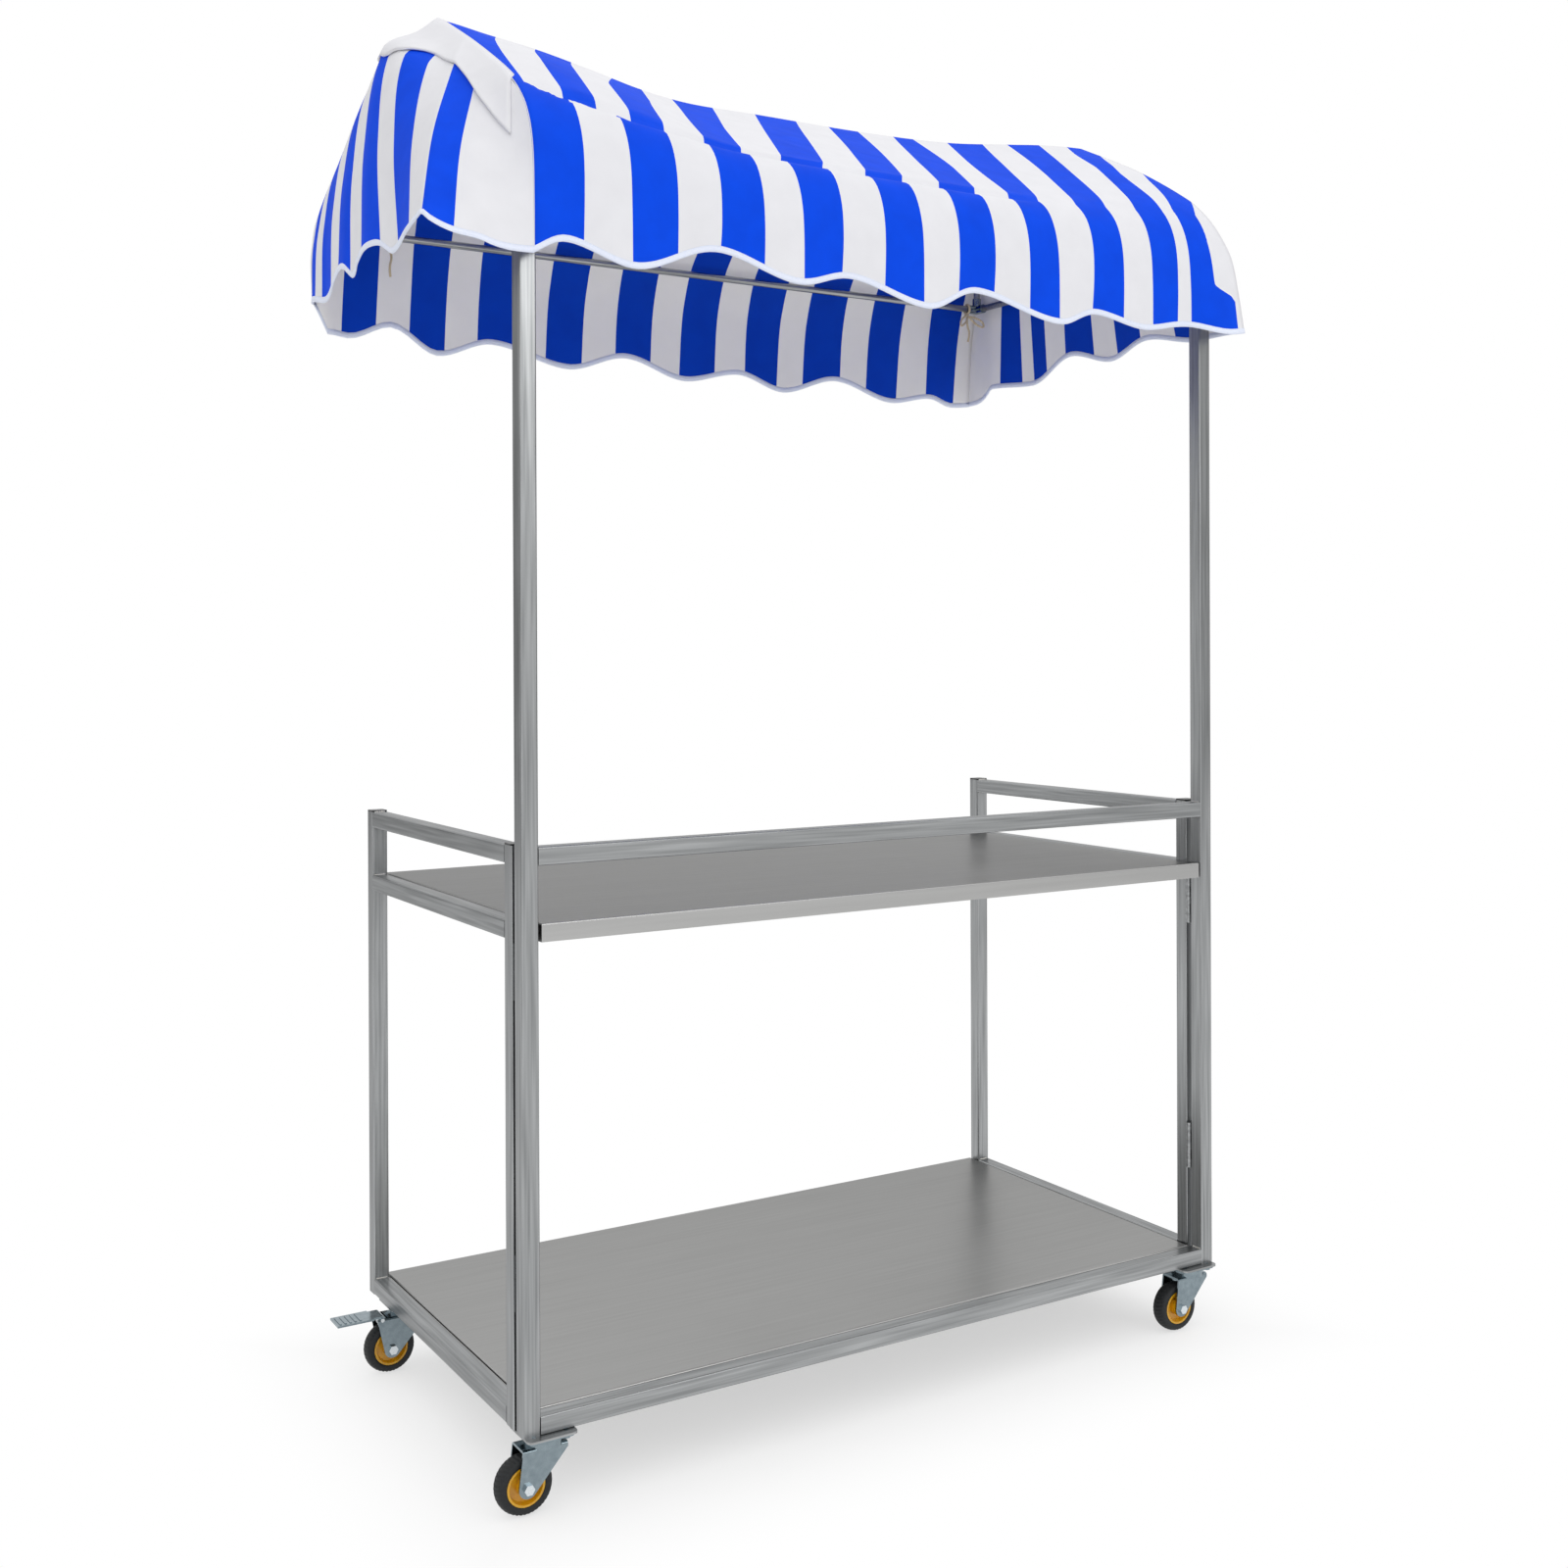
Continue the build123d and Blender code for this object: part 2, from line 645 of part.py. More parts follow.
with BuildPart() as canopy_elbows:
    for side in (-1, 1):
        with BuildSketch(Plane.YZ.offset(side * post_x)):
            with Locations((back_y, rod_height)):
                Circle(elbow_radius)
        extrude(amount=-side * elbow_reach)
        with BuildSketch(Plane.XZ.offset(-back_y)):
            with Locations((side * post_x, rod_height)):
                Circle(elbow_radius)
        extrude(amount=elbow_reach)
        with BuildSketch(Plane.XY.offset(rod_height)):
            with Locations((side * post_x, back_y)):
                Circle(elbow_radius)
        extrude(amount=elbow_reach)
        with Locations((side * post_x, back_y, rod_height)):
            Sphere(elbow_radius)
        with BuildSketch(Plane.YZ.offset(side * (post_x - rod_seat))):
            with Locations((back_y, rod_height)):
                Circle(socket_radius)
        extrude(amount=-side * elbow_reach, mode=Mode.SUBTRACT)
        with BuildSketch(Plane.XZ.offset(-back_y + rod_seat)):
            with Locations((side * post_x, rod_height)):
                Circle(socket_radius)
        extrude(amount=elbow_reach, mode=Mode.SUBTRACT)
        with BuildSketch(Plane.XY.offset(rod_height + rod_seat)):
            with Locations((side * post_x, back_y)):
                Circle(socket_radius)
        extrude(amount=elbow_reach, mode=Mode.SUBTRACT)
keep(canopy_elbows.part, "canopy_elbows")


# A bent hoop over each end carries the cloth's ridge
def canopy_hoop(x):
    with BuildPart() as hoop:
        with BuildLine(Plane.YZ.offset(x)) as route:
            FilletPolyline((front_y, upright_top - socket_depth), (front_y, hoop_shoulder), (0, hoop_peak),
                           (back_y, hoop_shoulder), (back_y, rod_height + rod_seat), radius=hoop_bend)
        with BuildSketch(Plane.XY.offset(upright_top - socket_depth)):
            with Locations((x, front_y)):
                Circle(rod_radius)
        sweep(path=route.line)
    return hoop.part


keep(canopy_hoop(-post_x), "left_hoop")
keep(canopy_hoop(post_x), "right_hoop")

# Roof cloth: sections across the cart, level on the hoops and sunk between them
pitch = (hoop_peak - hoop_shoulder) / back_y
slant = (1 + pitch ** 2) ** 0.5
inner_half = half_depth + cloth_clearance
outer_half = inner_half + cloth
inner_ridge = hoop_peak + (rod_radius + cloth_clearance) * slant
outer_ridge = inner_ridge + cloth * slant


def roof_outline(sag):
    inner_shoulder = inner_ridge - pitch * inner_half
    outer_shoulder = outer_ridge - pitch * outer_half
    FilletPolyline((-outer_half, roof_low), (-outer_half, outer_shoulder + sag), (0, outer_ridge + sag),
                   (outer_half, outer_shoulder + sag), (outer_half, roof_low), radius=cloth_bend + cloth)
    FilletPolyline((-inner_half, roof_low), (-inner_half, inner_shoulder + sag), (0, inner_ridge + sag),
                   (inner_half, inner_shoulder + sag), (inner_half, roof_low), radius=cloth_bend)
    Line((-outer_half, roof_low), (-inner_half, roof_low))
    Line((outer_half, roof_low), (inner_half, roof_low))


right_end = half_length + cloth_clearance + cloth
left_end = -right_end
lean_plane = Plane(origin=(left_end, 0, outer_ridge), x_dir=(0, -1, 0),
                   z_dir=(roof_low - outer_ridge, 0, left_lean))
sunk = [(share * inner_x, sag) for share, sag in roof_sag]
stations = [(left_end - roof_overrun, 0)] + sunk + [(right_end, 0)]

with BuildPart() as roof:
    for x, sag in stations:
        with BuildSketch(Plane.YZ.offset(x)):
            with BuildLine():
                roof_outline(sag)
            make_face()
    loft(ruled=True)
    split(bisect_by=lean_plane, keep=Keep.BOTTOM)


# End panels close the gables; the left one leans out
def gable(plane, low):
    shoulder = outer_ridge - pitch * outer_half
    with BuildPart() as panel:
        with BuildSketch(plane):
            with BuildLine():
                FilletPolyline((-outer_half, low), (-outer_half, shoulder - outer_ridge), (0, 0),
                               (outer_half, shoulder - outer_ridge), (outer_half, low),
                               radius=cloth_bend + cloth)
                Line((-outer_half, low), (outer_half, low))
            make_face()
        extrude(amount=-cloth)
    return panel.part


right_plane = Plane(origin=(right_end, 0, outer_ridge), x_dir=(0, 1, 0), z_dir=(1, 0, 0))
left_gable = gable(lean_plane, roof_low - outer_ridge)
right_gable = gable(right_plane, roof_low - outer_ridge)


# The skirt: a loop under the eaves lofted to a fuller, folded loop at the hem
def skirt_loop(corners, inset, corner_cut, bulge):
    folds = (front_folds, right_folds, back_folds, left_folds)
    points = [Vector(x - inset * (1 if x > 0 else -1), y - inset * (1 if y > 0 else -1)) for x, y in corners]
    for index in range(len(points)):
        start = points[index]
        corner = points[(index + 1) % len(points)]
        after = points[(index + 2) % len(points)]
        along = (corner - start).normalized()
        outward = Vector(along.Y, -along.X)
        first = start + along * corner_cut
        last = corner - along * corner_cut
        marks = [0] + list(folds[index]) + [1]
        for low, high in zip(marks, marks[1:]):
            begin = first + (last - first) * low
            finish = first + (last - first) * high
            if bulge:
                ThreePointArc(begin, (begin + finish) * 0.5 + outward * bulge, finish)
            else:
                Line(begin, finish)
        resume = corner + (after - corner).normalized() * corner_cut
        ThreePointArc(last, (last + resume) * (1 - corner_pull) / 2 + corner * corner_pull, resume)


left_eave = left_end - left_lean * (outer_ridge - skirt_top) / (outer_ridge - roof_low)
eave_corners = [(left_eave, -outer_half), (right_end, -outer_half), (right_end, outer_half),
                (left_eave, outer_half)]
hem_corners = []
for way_x, way_y, flare in ((-1, -1, hem_front_left), (1, -1, hem_front_right),
                            (1, 1, hem_back_right), (-1, 1, hem_back_left)):
    hem_corners.append((way_x * (half_length + flare[0]), way_y * (half_depth + flare[1])))


# Everything under a scalloped line is cut away from one side of the skirt
def hem_shape(shares, half):
    floor = skirt_low - cloth
    line = [(share * half, rod_height - drop) for share, drop in shares]
    for high, low, after in zip(line[0::2], line[1::2], line[2::2]):
        ThreePointArc(high, low, after)
    Polyline(line[-1], (line[-1][0], floor), (line[0][0], floor), line[0])


with BuildPart() as canopy_cloth:
    for inset, mode in ((0, Mode.ADD), (cloth, Mode.SUBTRACT)):
        with BuildSketch(Plane.XY.offset(skirt_low)):
            with BuildLine():
                skirt_loop(hem_corners, inset, hem_corner, hem_bulge)
            make_face()
        with BuildSketch(Plane.XY.offset(skirt_top)):
            with BuildLine():
                skirt_loop(eave_corners, inset, top_corner, 0)
            make_face()
        loft(ruled=True, mode=mode)
    for cut_plane, shares, half, way in ((Plane.XZ.offset(hem_cut_start), front_hem, half_length, 1),
                                         (Plane.XZ.offset(-hem_cut_start), back_hem, half_length, -1),
                                         (Plane.YZ.offset(half_length - tube), right_hem, half_depth, 1),
                                         (Plane.YZ.offset(left_eave - cloth), left_hem, half_depth, -1)):
        with BuildSketch(cut_plane):
            with BuildLine():
                hem_shape(shares, half)
            make_face()
        extrude(amount=way * hem_cut_depth, mode=Mode.SUBTRACT)
    add(roof.part)
    add(left_gable)
    add(right_gable)
keep(canopy_cloth.part, "canopy_cloth")

# Cotton ties: a ring and knot on the back rod at each end, and a tail that hangs free
with BuildPart() as tie_knots:
    for side in (-1, 1):
        with BuildSketch(Plane.XY.offset(rod_height)):
            with Locations((side * tie_x, back_y + tie_ring)):
                Circle(tie_radius)
        revolve(axis=Axis((0, back_y, rod_height), (1, 0, 0)))
        with Locations((side * tie_x, back_y, rod_height - knot_drop)):
            Sphere(knot_radius)
keep(tie_knots.part, "tie_knots")


def run_radii(points):
    radii = []
    for before, here, after in zip(points, points[1:], points[2:]):
        runs = [here - before, after - here]
        half_turn = runs[0].get_angle(runs[1]) / 2
        radii.append(0.45 * min(run.length for run in runs) / tan(radians(half_turn)))
    return radii


def tie_tail(side):
    top = rod_height - knot_drop - knot_radius - seat_gap
    points = [Vector(side * (tie_x + x), back_y + y, top + z) for x, y, z in tie_tail_steps]
    radii = run_radii(points)
    with BuildPart() as tail:
        with BuildLine() as route:
            FilletPolyline(*points, radius=radii)
        with BuildSketch(Plane(origin=points[0], z_dir=points[1] - points[0])):
            Circle(tie_radius)
        sweep(path=route.line)
    run_length = sum(edge.length for edge in route.edges())
    fill = tail.part.volume / (run_length * pi * tie_radius ** 2)
    print("tie tail bend radii", [round(radius, 1) for radius in radii], "length", round(run_length, 1),
          "volume over section times length", round(fill, 4))
    return tail.part


keep(tie_tail(-1), "left_tie_tail")
keep(tie_tail(1), "right_tie_tail")
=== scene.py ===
# %% [markdown]
# # A folding food cart with a striped canopy
#
# The cart comes in as a fixed frame of CAD parts, in metres, with the floor at Z 0 and the customer's side
# at -Y. This lesson gives it its finishes and makes the soft pieces: the canopy cloth, its hem tape and the
# two cotton ties. It also adds the weld beads and the tread of the tyres.

# %% Load the imported cart
import json
import math

import bpy
from mathutils import Matrix, Vector

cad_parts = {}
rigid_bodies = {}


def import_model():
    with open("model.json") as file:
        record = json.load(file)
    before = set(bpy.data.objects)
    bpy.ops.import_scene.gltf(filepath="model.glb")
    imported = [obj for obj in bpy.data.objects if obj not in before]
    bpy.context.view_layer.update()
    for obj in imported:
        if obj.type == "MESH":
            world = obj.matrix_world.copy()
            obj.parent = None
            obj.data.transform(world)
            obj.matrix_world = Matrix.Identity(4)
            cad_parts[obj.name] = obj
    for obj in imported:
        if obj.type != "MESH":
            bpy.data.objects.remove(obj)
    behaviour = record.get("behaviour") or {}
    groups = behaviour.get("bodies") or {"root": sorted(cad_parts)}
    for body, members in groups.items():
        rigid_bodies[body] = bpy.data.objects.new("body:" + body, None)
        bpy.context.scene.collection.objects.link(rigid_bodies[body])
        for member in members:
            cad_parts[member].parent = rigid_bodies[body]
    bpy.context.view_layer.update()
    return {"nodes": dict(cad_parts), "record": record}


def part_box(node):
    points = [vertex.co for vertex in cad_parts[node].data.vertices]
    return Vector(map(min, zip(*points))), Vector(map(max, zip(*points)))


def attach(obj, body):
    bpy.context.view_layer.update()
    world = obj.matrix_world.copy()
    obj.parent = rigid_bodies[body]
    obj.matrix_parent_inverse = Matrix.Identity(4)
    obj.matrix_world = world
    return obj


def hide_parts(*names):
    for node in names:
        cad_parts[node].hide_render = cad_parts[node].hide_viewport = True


for starter in list(bpy.data.objects):
    bpy.data.objects.remove(starter)
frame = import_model()
scene = bpy.context.scene

# %% [markdown]
# ## The camera
#
# The photograph was taken from the front left with a normal lens at chest height. Known lengths of the tube
# frame gave its place, turn and focal length. The camera looks almost level, which keeps the uprights
# parallel, and a shift takes the part of its view that the photograph shows, just below the middle.

# %% Camera at the photograph's angle
lens = bpy.data.cameras.new("photo_camera")
lens.sensor_width = 36
lens.lens = 40.37
lens.shift_x = -0.0304
lens.shift_y = -0.0828
camera = bpy.data.objects.new("photo_camera", lens)
stand = Matrix.Translation((-1.5198, -2.507, 1.15265))
turn = Matrix.Rotation(math.radians(-32.345), 4, "Z")
tip = Matrix.Rotation(math.radians(90 - 0.162), 4, "X")
level = Matrix.Rotation(math.radians(-0.209), 4, "Z")
camera.matrix_world = stand @ turn @ tip @ level
scene.collection.objects.link(camera)
scene.camera = camera
print("camera", [round(v, 3) for v in camera.location])

# %% [markdown]
# ## Helpers for finishes
#
# Colours are written as sRGB hex values, as a paint chart gives them, and one function turns them to the
# linear values that shaders work with. One more adds a node, sets its own settings and feeds its sockets
# with values or with other nodes' outputs, so that each finish below reads as a short list.

# %% Colour and node helpers
def to_linear(hex_colour):
    """An sRGB hex colour as linear RGBA."""
    parts = [int(hex_colour[place:place + 2], 16) / 255 for place in (1, 3, 5)]
    return [c / 12.92 if c <= 0.04045 else ((c + 0.055) / 1.055) ** 2.4 for c in parts] + [1.0]


def feed(tree, node, sockets):
    """Gives each named socket its value, or links another node's output to it."""
    for name, value in sockets.items():
        if isinstance(value, bpy.types.NodeSocket):
            tree.links.new(value, node.inputs[name])
        else:
            node.inputs[name].default_value = value


def add_node(tree, kind, sockets=None, **settings):
    """Adds one node, sets its settings and feeds its sockets."""
    node = tree.nodes.new(kind)
    for name, value in settings.items():
        setattr(node, name, value)
    feed(tree, node, sockets or {})
    return node


def start_finish(name, sockets):
    """A new material, its node tree and its shader, with the constant values set on the shader."""
    finish = bpy.data.materials.new(name)
    finish.use_nodes = True
    tree = finish.node_tree
    shader = tree.nodes["Principled BSDF"]
    feed(tree, shader, sockets)
    return finish, tree, shader


print("cart blue in linear light", [round(c, 3) for c in to_linear("#0A4BF2")[:3]])

# %% [markdown]
# ## Cotton ties
#
# A soft twisted cotton cord is tied round the back canopy rod near each end and holds the cloth to it. Its
# tail is a free cord, so it is drawn as one smooth NURBS spline through the route of the CAD model, with a
# round bevel. The loop, the knot and the bow at the right end are the same cord wound up tight, so they are
# curves too. Loose twisted cotton is matt, with a pale tan colour and a slanting ply about 2 mm long.

# %% Twisted cotton
cotton, tree, shader = start_finish("twisted_cotton_cord",
                                    {"Roughness": 0.9, "IOR": 1.5, "Sheen Weight": 0.3})
place = add_node(tree, "ShaderNodeTexCoord")
# A ply is just under 2 mm long; diagonal bands repeat every 2 pi / (10 x scale) metres along an axis
ply_length = 0.00197392
ply_scale = 2 * math.pi / (10 * ply_length)
ply = add_node(tree, "ShaderNodeTexWave", {"Vector": place.outputs["Object"], "Scale": ply_scale,
                                           "Distortion": 1.5, "Detail": 2.0}, bands_direction="DIAGONAL")
tone = add_node(tree, "ShaderNodeMix", {0: ply.outputs["Fac"], 6: to_linear("#C6AE84"),
                                        7: to_linear("#EADBBA")}, data_type="RGBA")
twist = add_node(tree, "ShaderNodeBump", {"Height": ply.outputs["Fac"], "Strength": 0.5, "Distance": 0.0006})
feed(tree, shader, {"Base Color": tone.outputs[2], "Normal": twist.outputs["Normal"]})
print(cotton.name)

# %% Route of a tail, and a round cord
tie_radius = 0.002
tie_x, back_rod_y, rod_z = 0.588, 0.3125, 1.83
# The tail starts under the CAD model's knot, which is a ball
ball_drop, ball_radius, seat_gap = 0.013, 0.0045, 0.0002
tail_top = rod_z - ball_drop - ball_radius - seat_gap
tail_steps = [(0, 0, 0), (-0.003, -0.004, -0.016), (0.003, -0.006, -0.032), (0, -0.003, -0.048)]


def cord_piece(name, points, closed, radius):
    """A round cord: a curve of one spline, smooth through its control points."""
    line = bpy.data.curves.new(name, "CURVE")
    line.dimensions = "3D"
    line.bevel_depth = radius
    line.bevel_resolution = 4
    line.use_fill_caps = True
    spline = line.splines.new("NURBS")
    spline.points.add(len(points) - 1)
    for spot, point in zip(spline.points, points):
        spot.co = (*point, 1)
    spline.use_cyclic_u = closed
    spline.order_u = 3
    spline.use_endpoint_u = not closed
    spline.resolution_u = 8
    piece = bpy.data.objects.new(name, line)
    line.materials.append(cotton)
    scene.collection.objects.link(piece)
    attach(piece, "canopy")
    return piece


print("tails start at", round(tail_top, 4), "m")

# %% Tie tails, loops, knots and a bow
loop_radius, knot_cord_radius = 0.0096, 0.0017
knot_z = rod_z - 0.0128
# The right tie ends in a bow: two drooping loops, in millimetres outward from the middle of the knot
bow_loops = {"outer": [(0, -4, -2), (12, -10, -5), (30, -12, -11), (34, -12, -24), (18, -10, -20),
                       (6, -8, -10)],
             "inner": [(0, -4, 0), (-10, -10, -3), (-24, -12, -13), (-24, -12, -27), (-10, -10, -17),
                       (-4, -8, -6)]}


def angles(count):
    """A number of angles evenly round a circle."""
    return [2 * math.pi * step / count for step in range(count)]


knots = []
for side, way in (("left", -1), ("right", 1)):
    tail = cord_piece(f"{side}_tie_tail_cord", [(way * (tie_x + x), back_rod_y + y, tail_top + z)
                                                for x, y, z in tail_steps], False, tie_radius)
    # The loop leans a little to and fro as it goes round the rod
    ring = [(way * tie_x + 0.001 * math.sin(2 * a), back_rod_y + loop_radius * math.cos(a),
             rod_z + loop_radius * math.sin(a)) for a in angles(10)]
    loop = cord_piece(f"{side}_tie_loop", ring, True, tie_radius)
    # A trefoil, the simplest knot
    wound = [(way * tie_x + 0.0012 * (math.sin(a) + 2 * math.sin(2 * a)),
              back_rod_y + 0.0012 * (math.cos(a) - 2 * math.cos(2 * a)),
              knot_z - 0.0026 * math.sin(3 * a)) for a in angles(18)]
    knot = cord_piece(f"{side}_tie_knot", wound, True, knot_cord_radius)
    bows = [cord_piece(f"{side}_tie_{which}_bow", [(way * (tie_x + x / 1000), back_rod_y + y / 1000,
                                                    knot_z + z / 1000) for x, y, z in loop_spots],
                       True, tie_radius) for which, loop_spots in bow_loops.items() if side == "right"]
    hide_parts(f"{side}_tie_tail")
    knots += [loop, knot] + bows
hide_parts("tie_knots")
print("ties", [piece.name for piece in knots])

# %% [markdown]
# ## Metals, plastics and rubber
#
# The frame is welded from square stainless tube with a satin finish: a belt has drawn fine lines along each
# tube, so reflections are soft and a little streaked. The lines are far under a millimetre on the real tube;
# here they are 4 mm apart on tube and 7 mm on sheet so that they can show. The noise is stretched along the
# tube, so there is one finish for each direction that a tube runs.

# %% Satin stainless tube and sheet
def satin_stainless(name, lines, colours, gloss, edge):
    """Stainless steel with a drawn grain; lines is how many grain lines a metre has along X, Y and Z.

    The grain shades itself at a low angle, so the tint at grazing is the grey given as edge."""
    finish, tree, shader = start_finish(name, {"Metallic": 1.0, "Specular Tint": to_linear(edge)})
    place = add_node(tree, "ShaderNodeTexCoord")
    drawn = add_node(tree, "ShaderNodeMapping", {"Vector": place.outputs["Object"], "Scale": lines})
    grain = add_node(tree, "ShaderNodeTexNoise", {"Vector": drawn.outputs["Vector"], "Scale": 1.0,
                                                  "Detail": 1.0})
    # Handling leaves soft cloudy patches about 150 mm across
    haze = add_node(tree, "ShaderNodeTexNoise", {"Vector": place.outputs["Object"], "Scale": 1 / 0.15,
                                                 "Detail": 2.0})
    tone = add_node(tree, "ShaderNodeMix", {0: grain.outputs["Fac"], 6: to_linear(colours[0]),
                                            7: to_linear(colours[1])}, data_type="RGBA")
    satin = add_node(tree, "ShaderNodeMapRange", {"Value": haze.outputs["Fac"], "From Min": 0.3,
                                                  "From Max": 0.7, "To Min": gloss[0], "To Max": gloss[1]})
    ridges = add_node(tree, "ShaderNodeBump", {"Height": grain.outputs["Fac"], "Strength": 0.05,
                                               "Distance": 0.0003})
    feed(tree, shader, {"Base Color": tone.outputs[2], "Roughness": satin.outputs["Result"],
                        "Normal": ridges.outputs["Normal"]})
    return finish


along, across = 1 / 0.16, 1 / 0.004
tube_lines = {"X": (along, across, across), "Y": (across, along, across), "Z": (across, across, along)}
# Denoisers take metal with a roughness under about 0.27 for a mirror, so the haze keeps wholly above that
tube_gloss, sheet_gloss = (0.285, 0.37), (0.285, 0.35)
tube_along = {axis: satin_stainless(f"satin_stainless_tube_{axis.lower()}", lines, ("#767879", "#C0C2C3"),
                                    tube_gloss, "#D0D0D0") for axis, lines in tube_lines.items()}
sheet_lines = (1 / 0.3, 1 / 0.007, 1 / 0.007)
sheet_steel = satin_stainless("satin_stainless_sheet", sheet_lines, ("#B0B0AF", "#BEBEBD"), sheet_gloss,
                              "#A9A9A9")
print("stainless finishes", len(tube_along) + 1)

# %% [markdown]
# The casters are pressed from mild steel and plated with bright zinc. Plating is smoother than the satin
# tube but not even: it clouds in patches of several millimetres and has a faint blue cast. The wheel bolts
# are turned before they are plated, so they are the brightest metal on the cart. Patches of tone and gloss
# come back in other finishes, so one function makes all the patchy ones.

# %% Bright zinc plating
def mottled(name, sockets, size, detail, colours, gloss=None):
    """A finish whose tone changes in patches of a size in metres, with its gloss where a range is given."""
    finish, tree, shader = start_finish(name, sockets)
    place = add_node(tree, "ShaderNodeTexCoord")
    patch = add_node(tree, "ShaderNodeTexNoise", {"Vector": place.outputs["Object"], "Scale": 1 / size,
                                                  "Detail": detail})
    tone = add_node(tree, "ShaderNodeMix", {0: patch.outputs["Fac"], 6: to_linear(colours[0]),
                                            7: to_linear(colours[1])}, data_type="RGBA")
    feed(tree, shader, {"Base Color": tone.outputs[2]})
    if gloss:
        shine = add_node(tree, "ShaderNodeMapRange", {"Value": patch.outputs["Fac"], "To Min": gloss[0],
                                                      "To Max": gloss[1]})
        feed(tree, shader, {"Roughness": shine.outputs["Result"]})
    return finish


# Cloudy patches 9 mm across
zinc = mottled("bright_zinc_plated_steel", {"Metallic": 1.0}, 0.009, 2.0, ("#717E85", "#98A5AB"), (0.1, 0.22))
# Turning marks, drawn 2 mm apart
bright_bolt = mottled("polished_zinc_bolt_steel", {"Metallic": 1.0}, 0.002, 1.0, ("#CDD4D8", "#E6ECEF"),
                      (0.1, 0.2))
print(zinc.name, bright_bolt.name)

# %% [markdown]
# The plugs and caps are moulded from black polyethylene, which has a waxy gloss over a fine moulded grain.
# The tyres are black rubber, greyer where they have rolled. The wheel centres are moulded from amber
# polypropylene, clear enough at the edges to glow a little, so some light is let in under the surface.

# %% Moulded plastics and rubber
black_plug, tree, shader = start_finish("moulded_black_polyethylene",
                                        {"Base Color": to_linear("#121314"), "IOR": 1.51})
place = add_node(tree, "ShaderNodeTexCoord")
# Moulded grain, drawn at 1 mm
grain = add_node(tree, "ShaderNodeTexNoise", {"Vector": place.outputs["Object"], "Scale": 1 / 0.001,
                                              "Detail": 2.0})
waxy = add_node(tree, "ShaderNodeMapRange", {"Value": grain.outputs["Fac"], "To Min": 0.26, "To Max": 0.42})
skin = add_node(tree, "ShaderNodeBump", {"Height": grain.outputs["Fac"], "Strength": 0.1, "Distance": 0.0002})
feed(tree, shader, {"Roughness": waxy.outputs["Result"], "Normal": skin.outputs["Normal"]})
# Dust and scuffs about 6 mm across
rubber = mottled("vulcanised_black_rubber", {"IOR": 1.52, "Specular IOR Level": 0.35}, 0.006, 5.0,
                 ("#0E0F10", "#2C2F31"), (0.45, 0.75))
# Flow marks about 10 mm long
amber = mottled("moulded_amber_polypropylene",
                {"IOR": 1.49, "Subsurface Weight": 0.12, "Subsurface Scale": 0.004, "Coat Weight": 0.4},
                0.01, 3.0, ("#BE8400", "#ECB61C"), (0.29, 0.4))
print(black_plug.name, rubber.name, amber.name)

# %% [markdown]
# ## Dress the CAD parts
#
# Each CAD node keeps its shape and takes a finish by what it is made of. For a tube, the longest side of its
# box says which way its grain runs.

# %% Finishes on the CAD nodes
by_slot = {"stainless_sheet": sheet_steel, "zinc_steel": zinc, "black_plastic": black_plug,
           "black_rubber": rubber, "amber_plastic": amber, "cotton_cord": cotton}
slot_of = {part["node"]: part["material_slot"] for part in frame["record"]["subparts"]}
used = {}
for name, part in frame["nodes"].items():
    if slot_of[name] == "stainless_tube":
        low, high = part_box(name)
        spans = [high[axis] - low[axis] for axis in range(3)]
        finish = tube_along["XYZ"[spans.index(max(spans))]]
    elif name.endswith("_axle"):
        finish = bright_bolt
    else:
        finish = by_slot.get(slot_of[name], sheet_steel)
    part.data.materials.clear()
    part.data.materials.append(finish)
    used[finish.name] = used.get(finish.name, 0) + 1
print("nodes in each finish", used)

# %% [markdown]
# ## Weld beads
#
# Every rail is welded to its posts. The outer faces are ground flush, but a bead is left in the corner above
# and below each rail: a row of small overlapping ripples. A short tube whose radius swells at each ripple
# gives that look without a texture, and all the beads are one mesh.

# %% Rippled tubes
bead_radius, bead_ripples = 0.0019, 7


def bead_rings(start, end):
    """Rings of points along a weld bead, which swells once for each ripple and tapers at both ends."""
    line = end - start
    side = line.cross(Vector((0.577, 0.577, 0.577))).normalized()
    other = line.cross(side).normalized()
    rings = []
    steps = bead_ripples * 4
    for step in range(steps + 1):
        share = step / steps
        swell = bead_radius * (0.72 + 0.28 * abs(math.sin(math.pi * share * bead_ripples)))
        swell *= min(1, 0.25 + 6 * share, 0.25 + 6 * (1 - share))
        rings.append([start + line * share + side * (swell * math.cos(a)) + other * (swell * math.sin(a))
                      for a in angles(8)])
    return rings


def tube_mesh(rings_list):
    """Points and faces of closed tubes, one for each list of rings."""
    points, faces = [], []
    for rings in rings_list:
        first, count = len(points), len(rings[0])
        for ring in rings:
            points += ring
        for row in range(len(rings) - 1):
            low = first + row * count
            for spot in range(count):
                after = (spot + 1) % count
                faces.append((low + spot, low + after, low + count + after, low + count + spot))
        faces.append(tuple(first + spot for spot in reversed(range(count))))
        faces.append(tuple(first + (len(rings) - 1) * count + spot for spot in range(count)))
    return points, faces


print("bead", 2000 * bead_radius, "mm thick with", bead_ripples, "ripples")

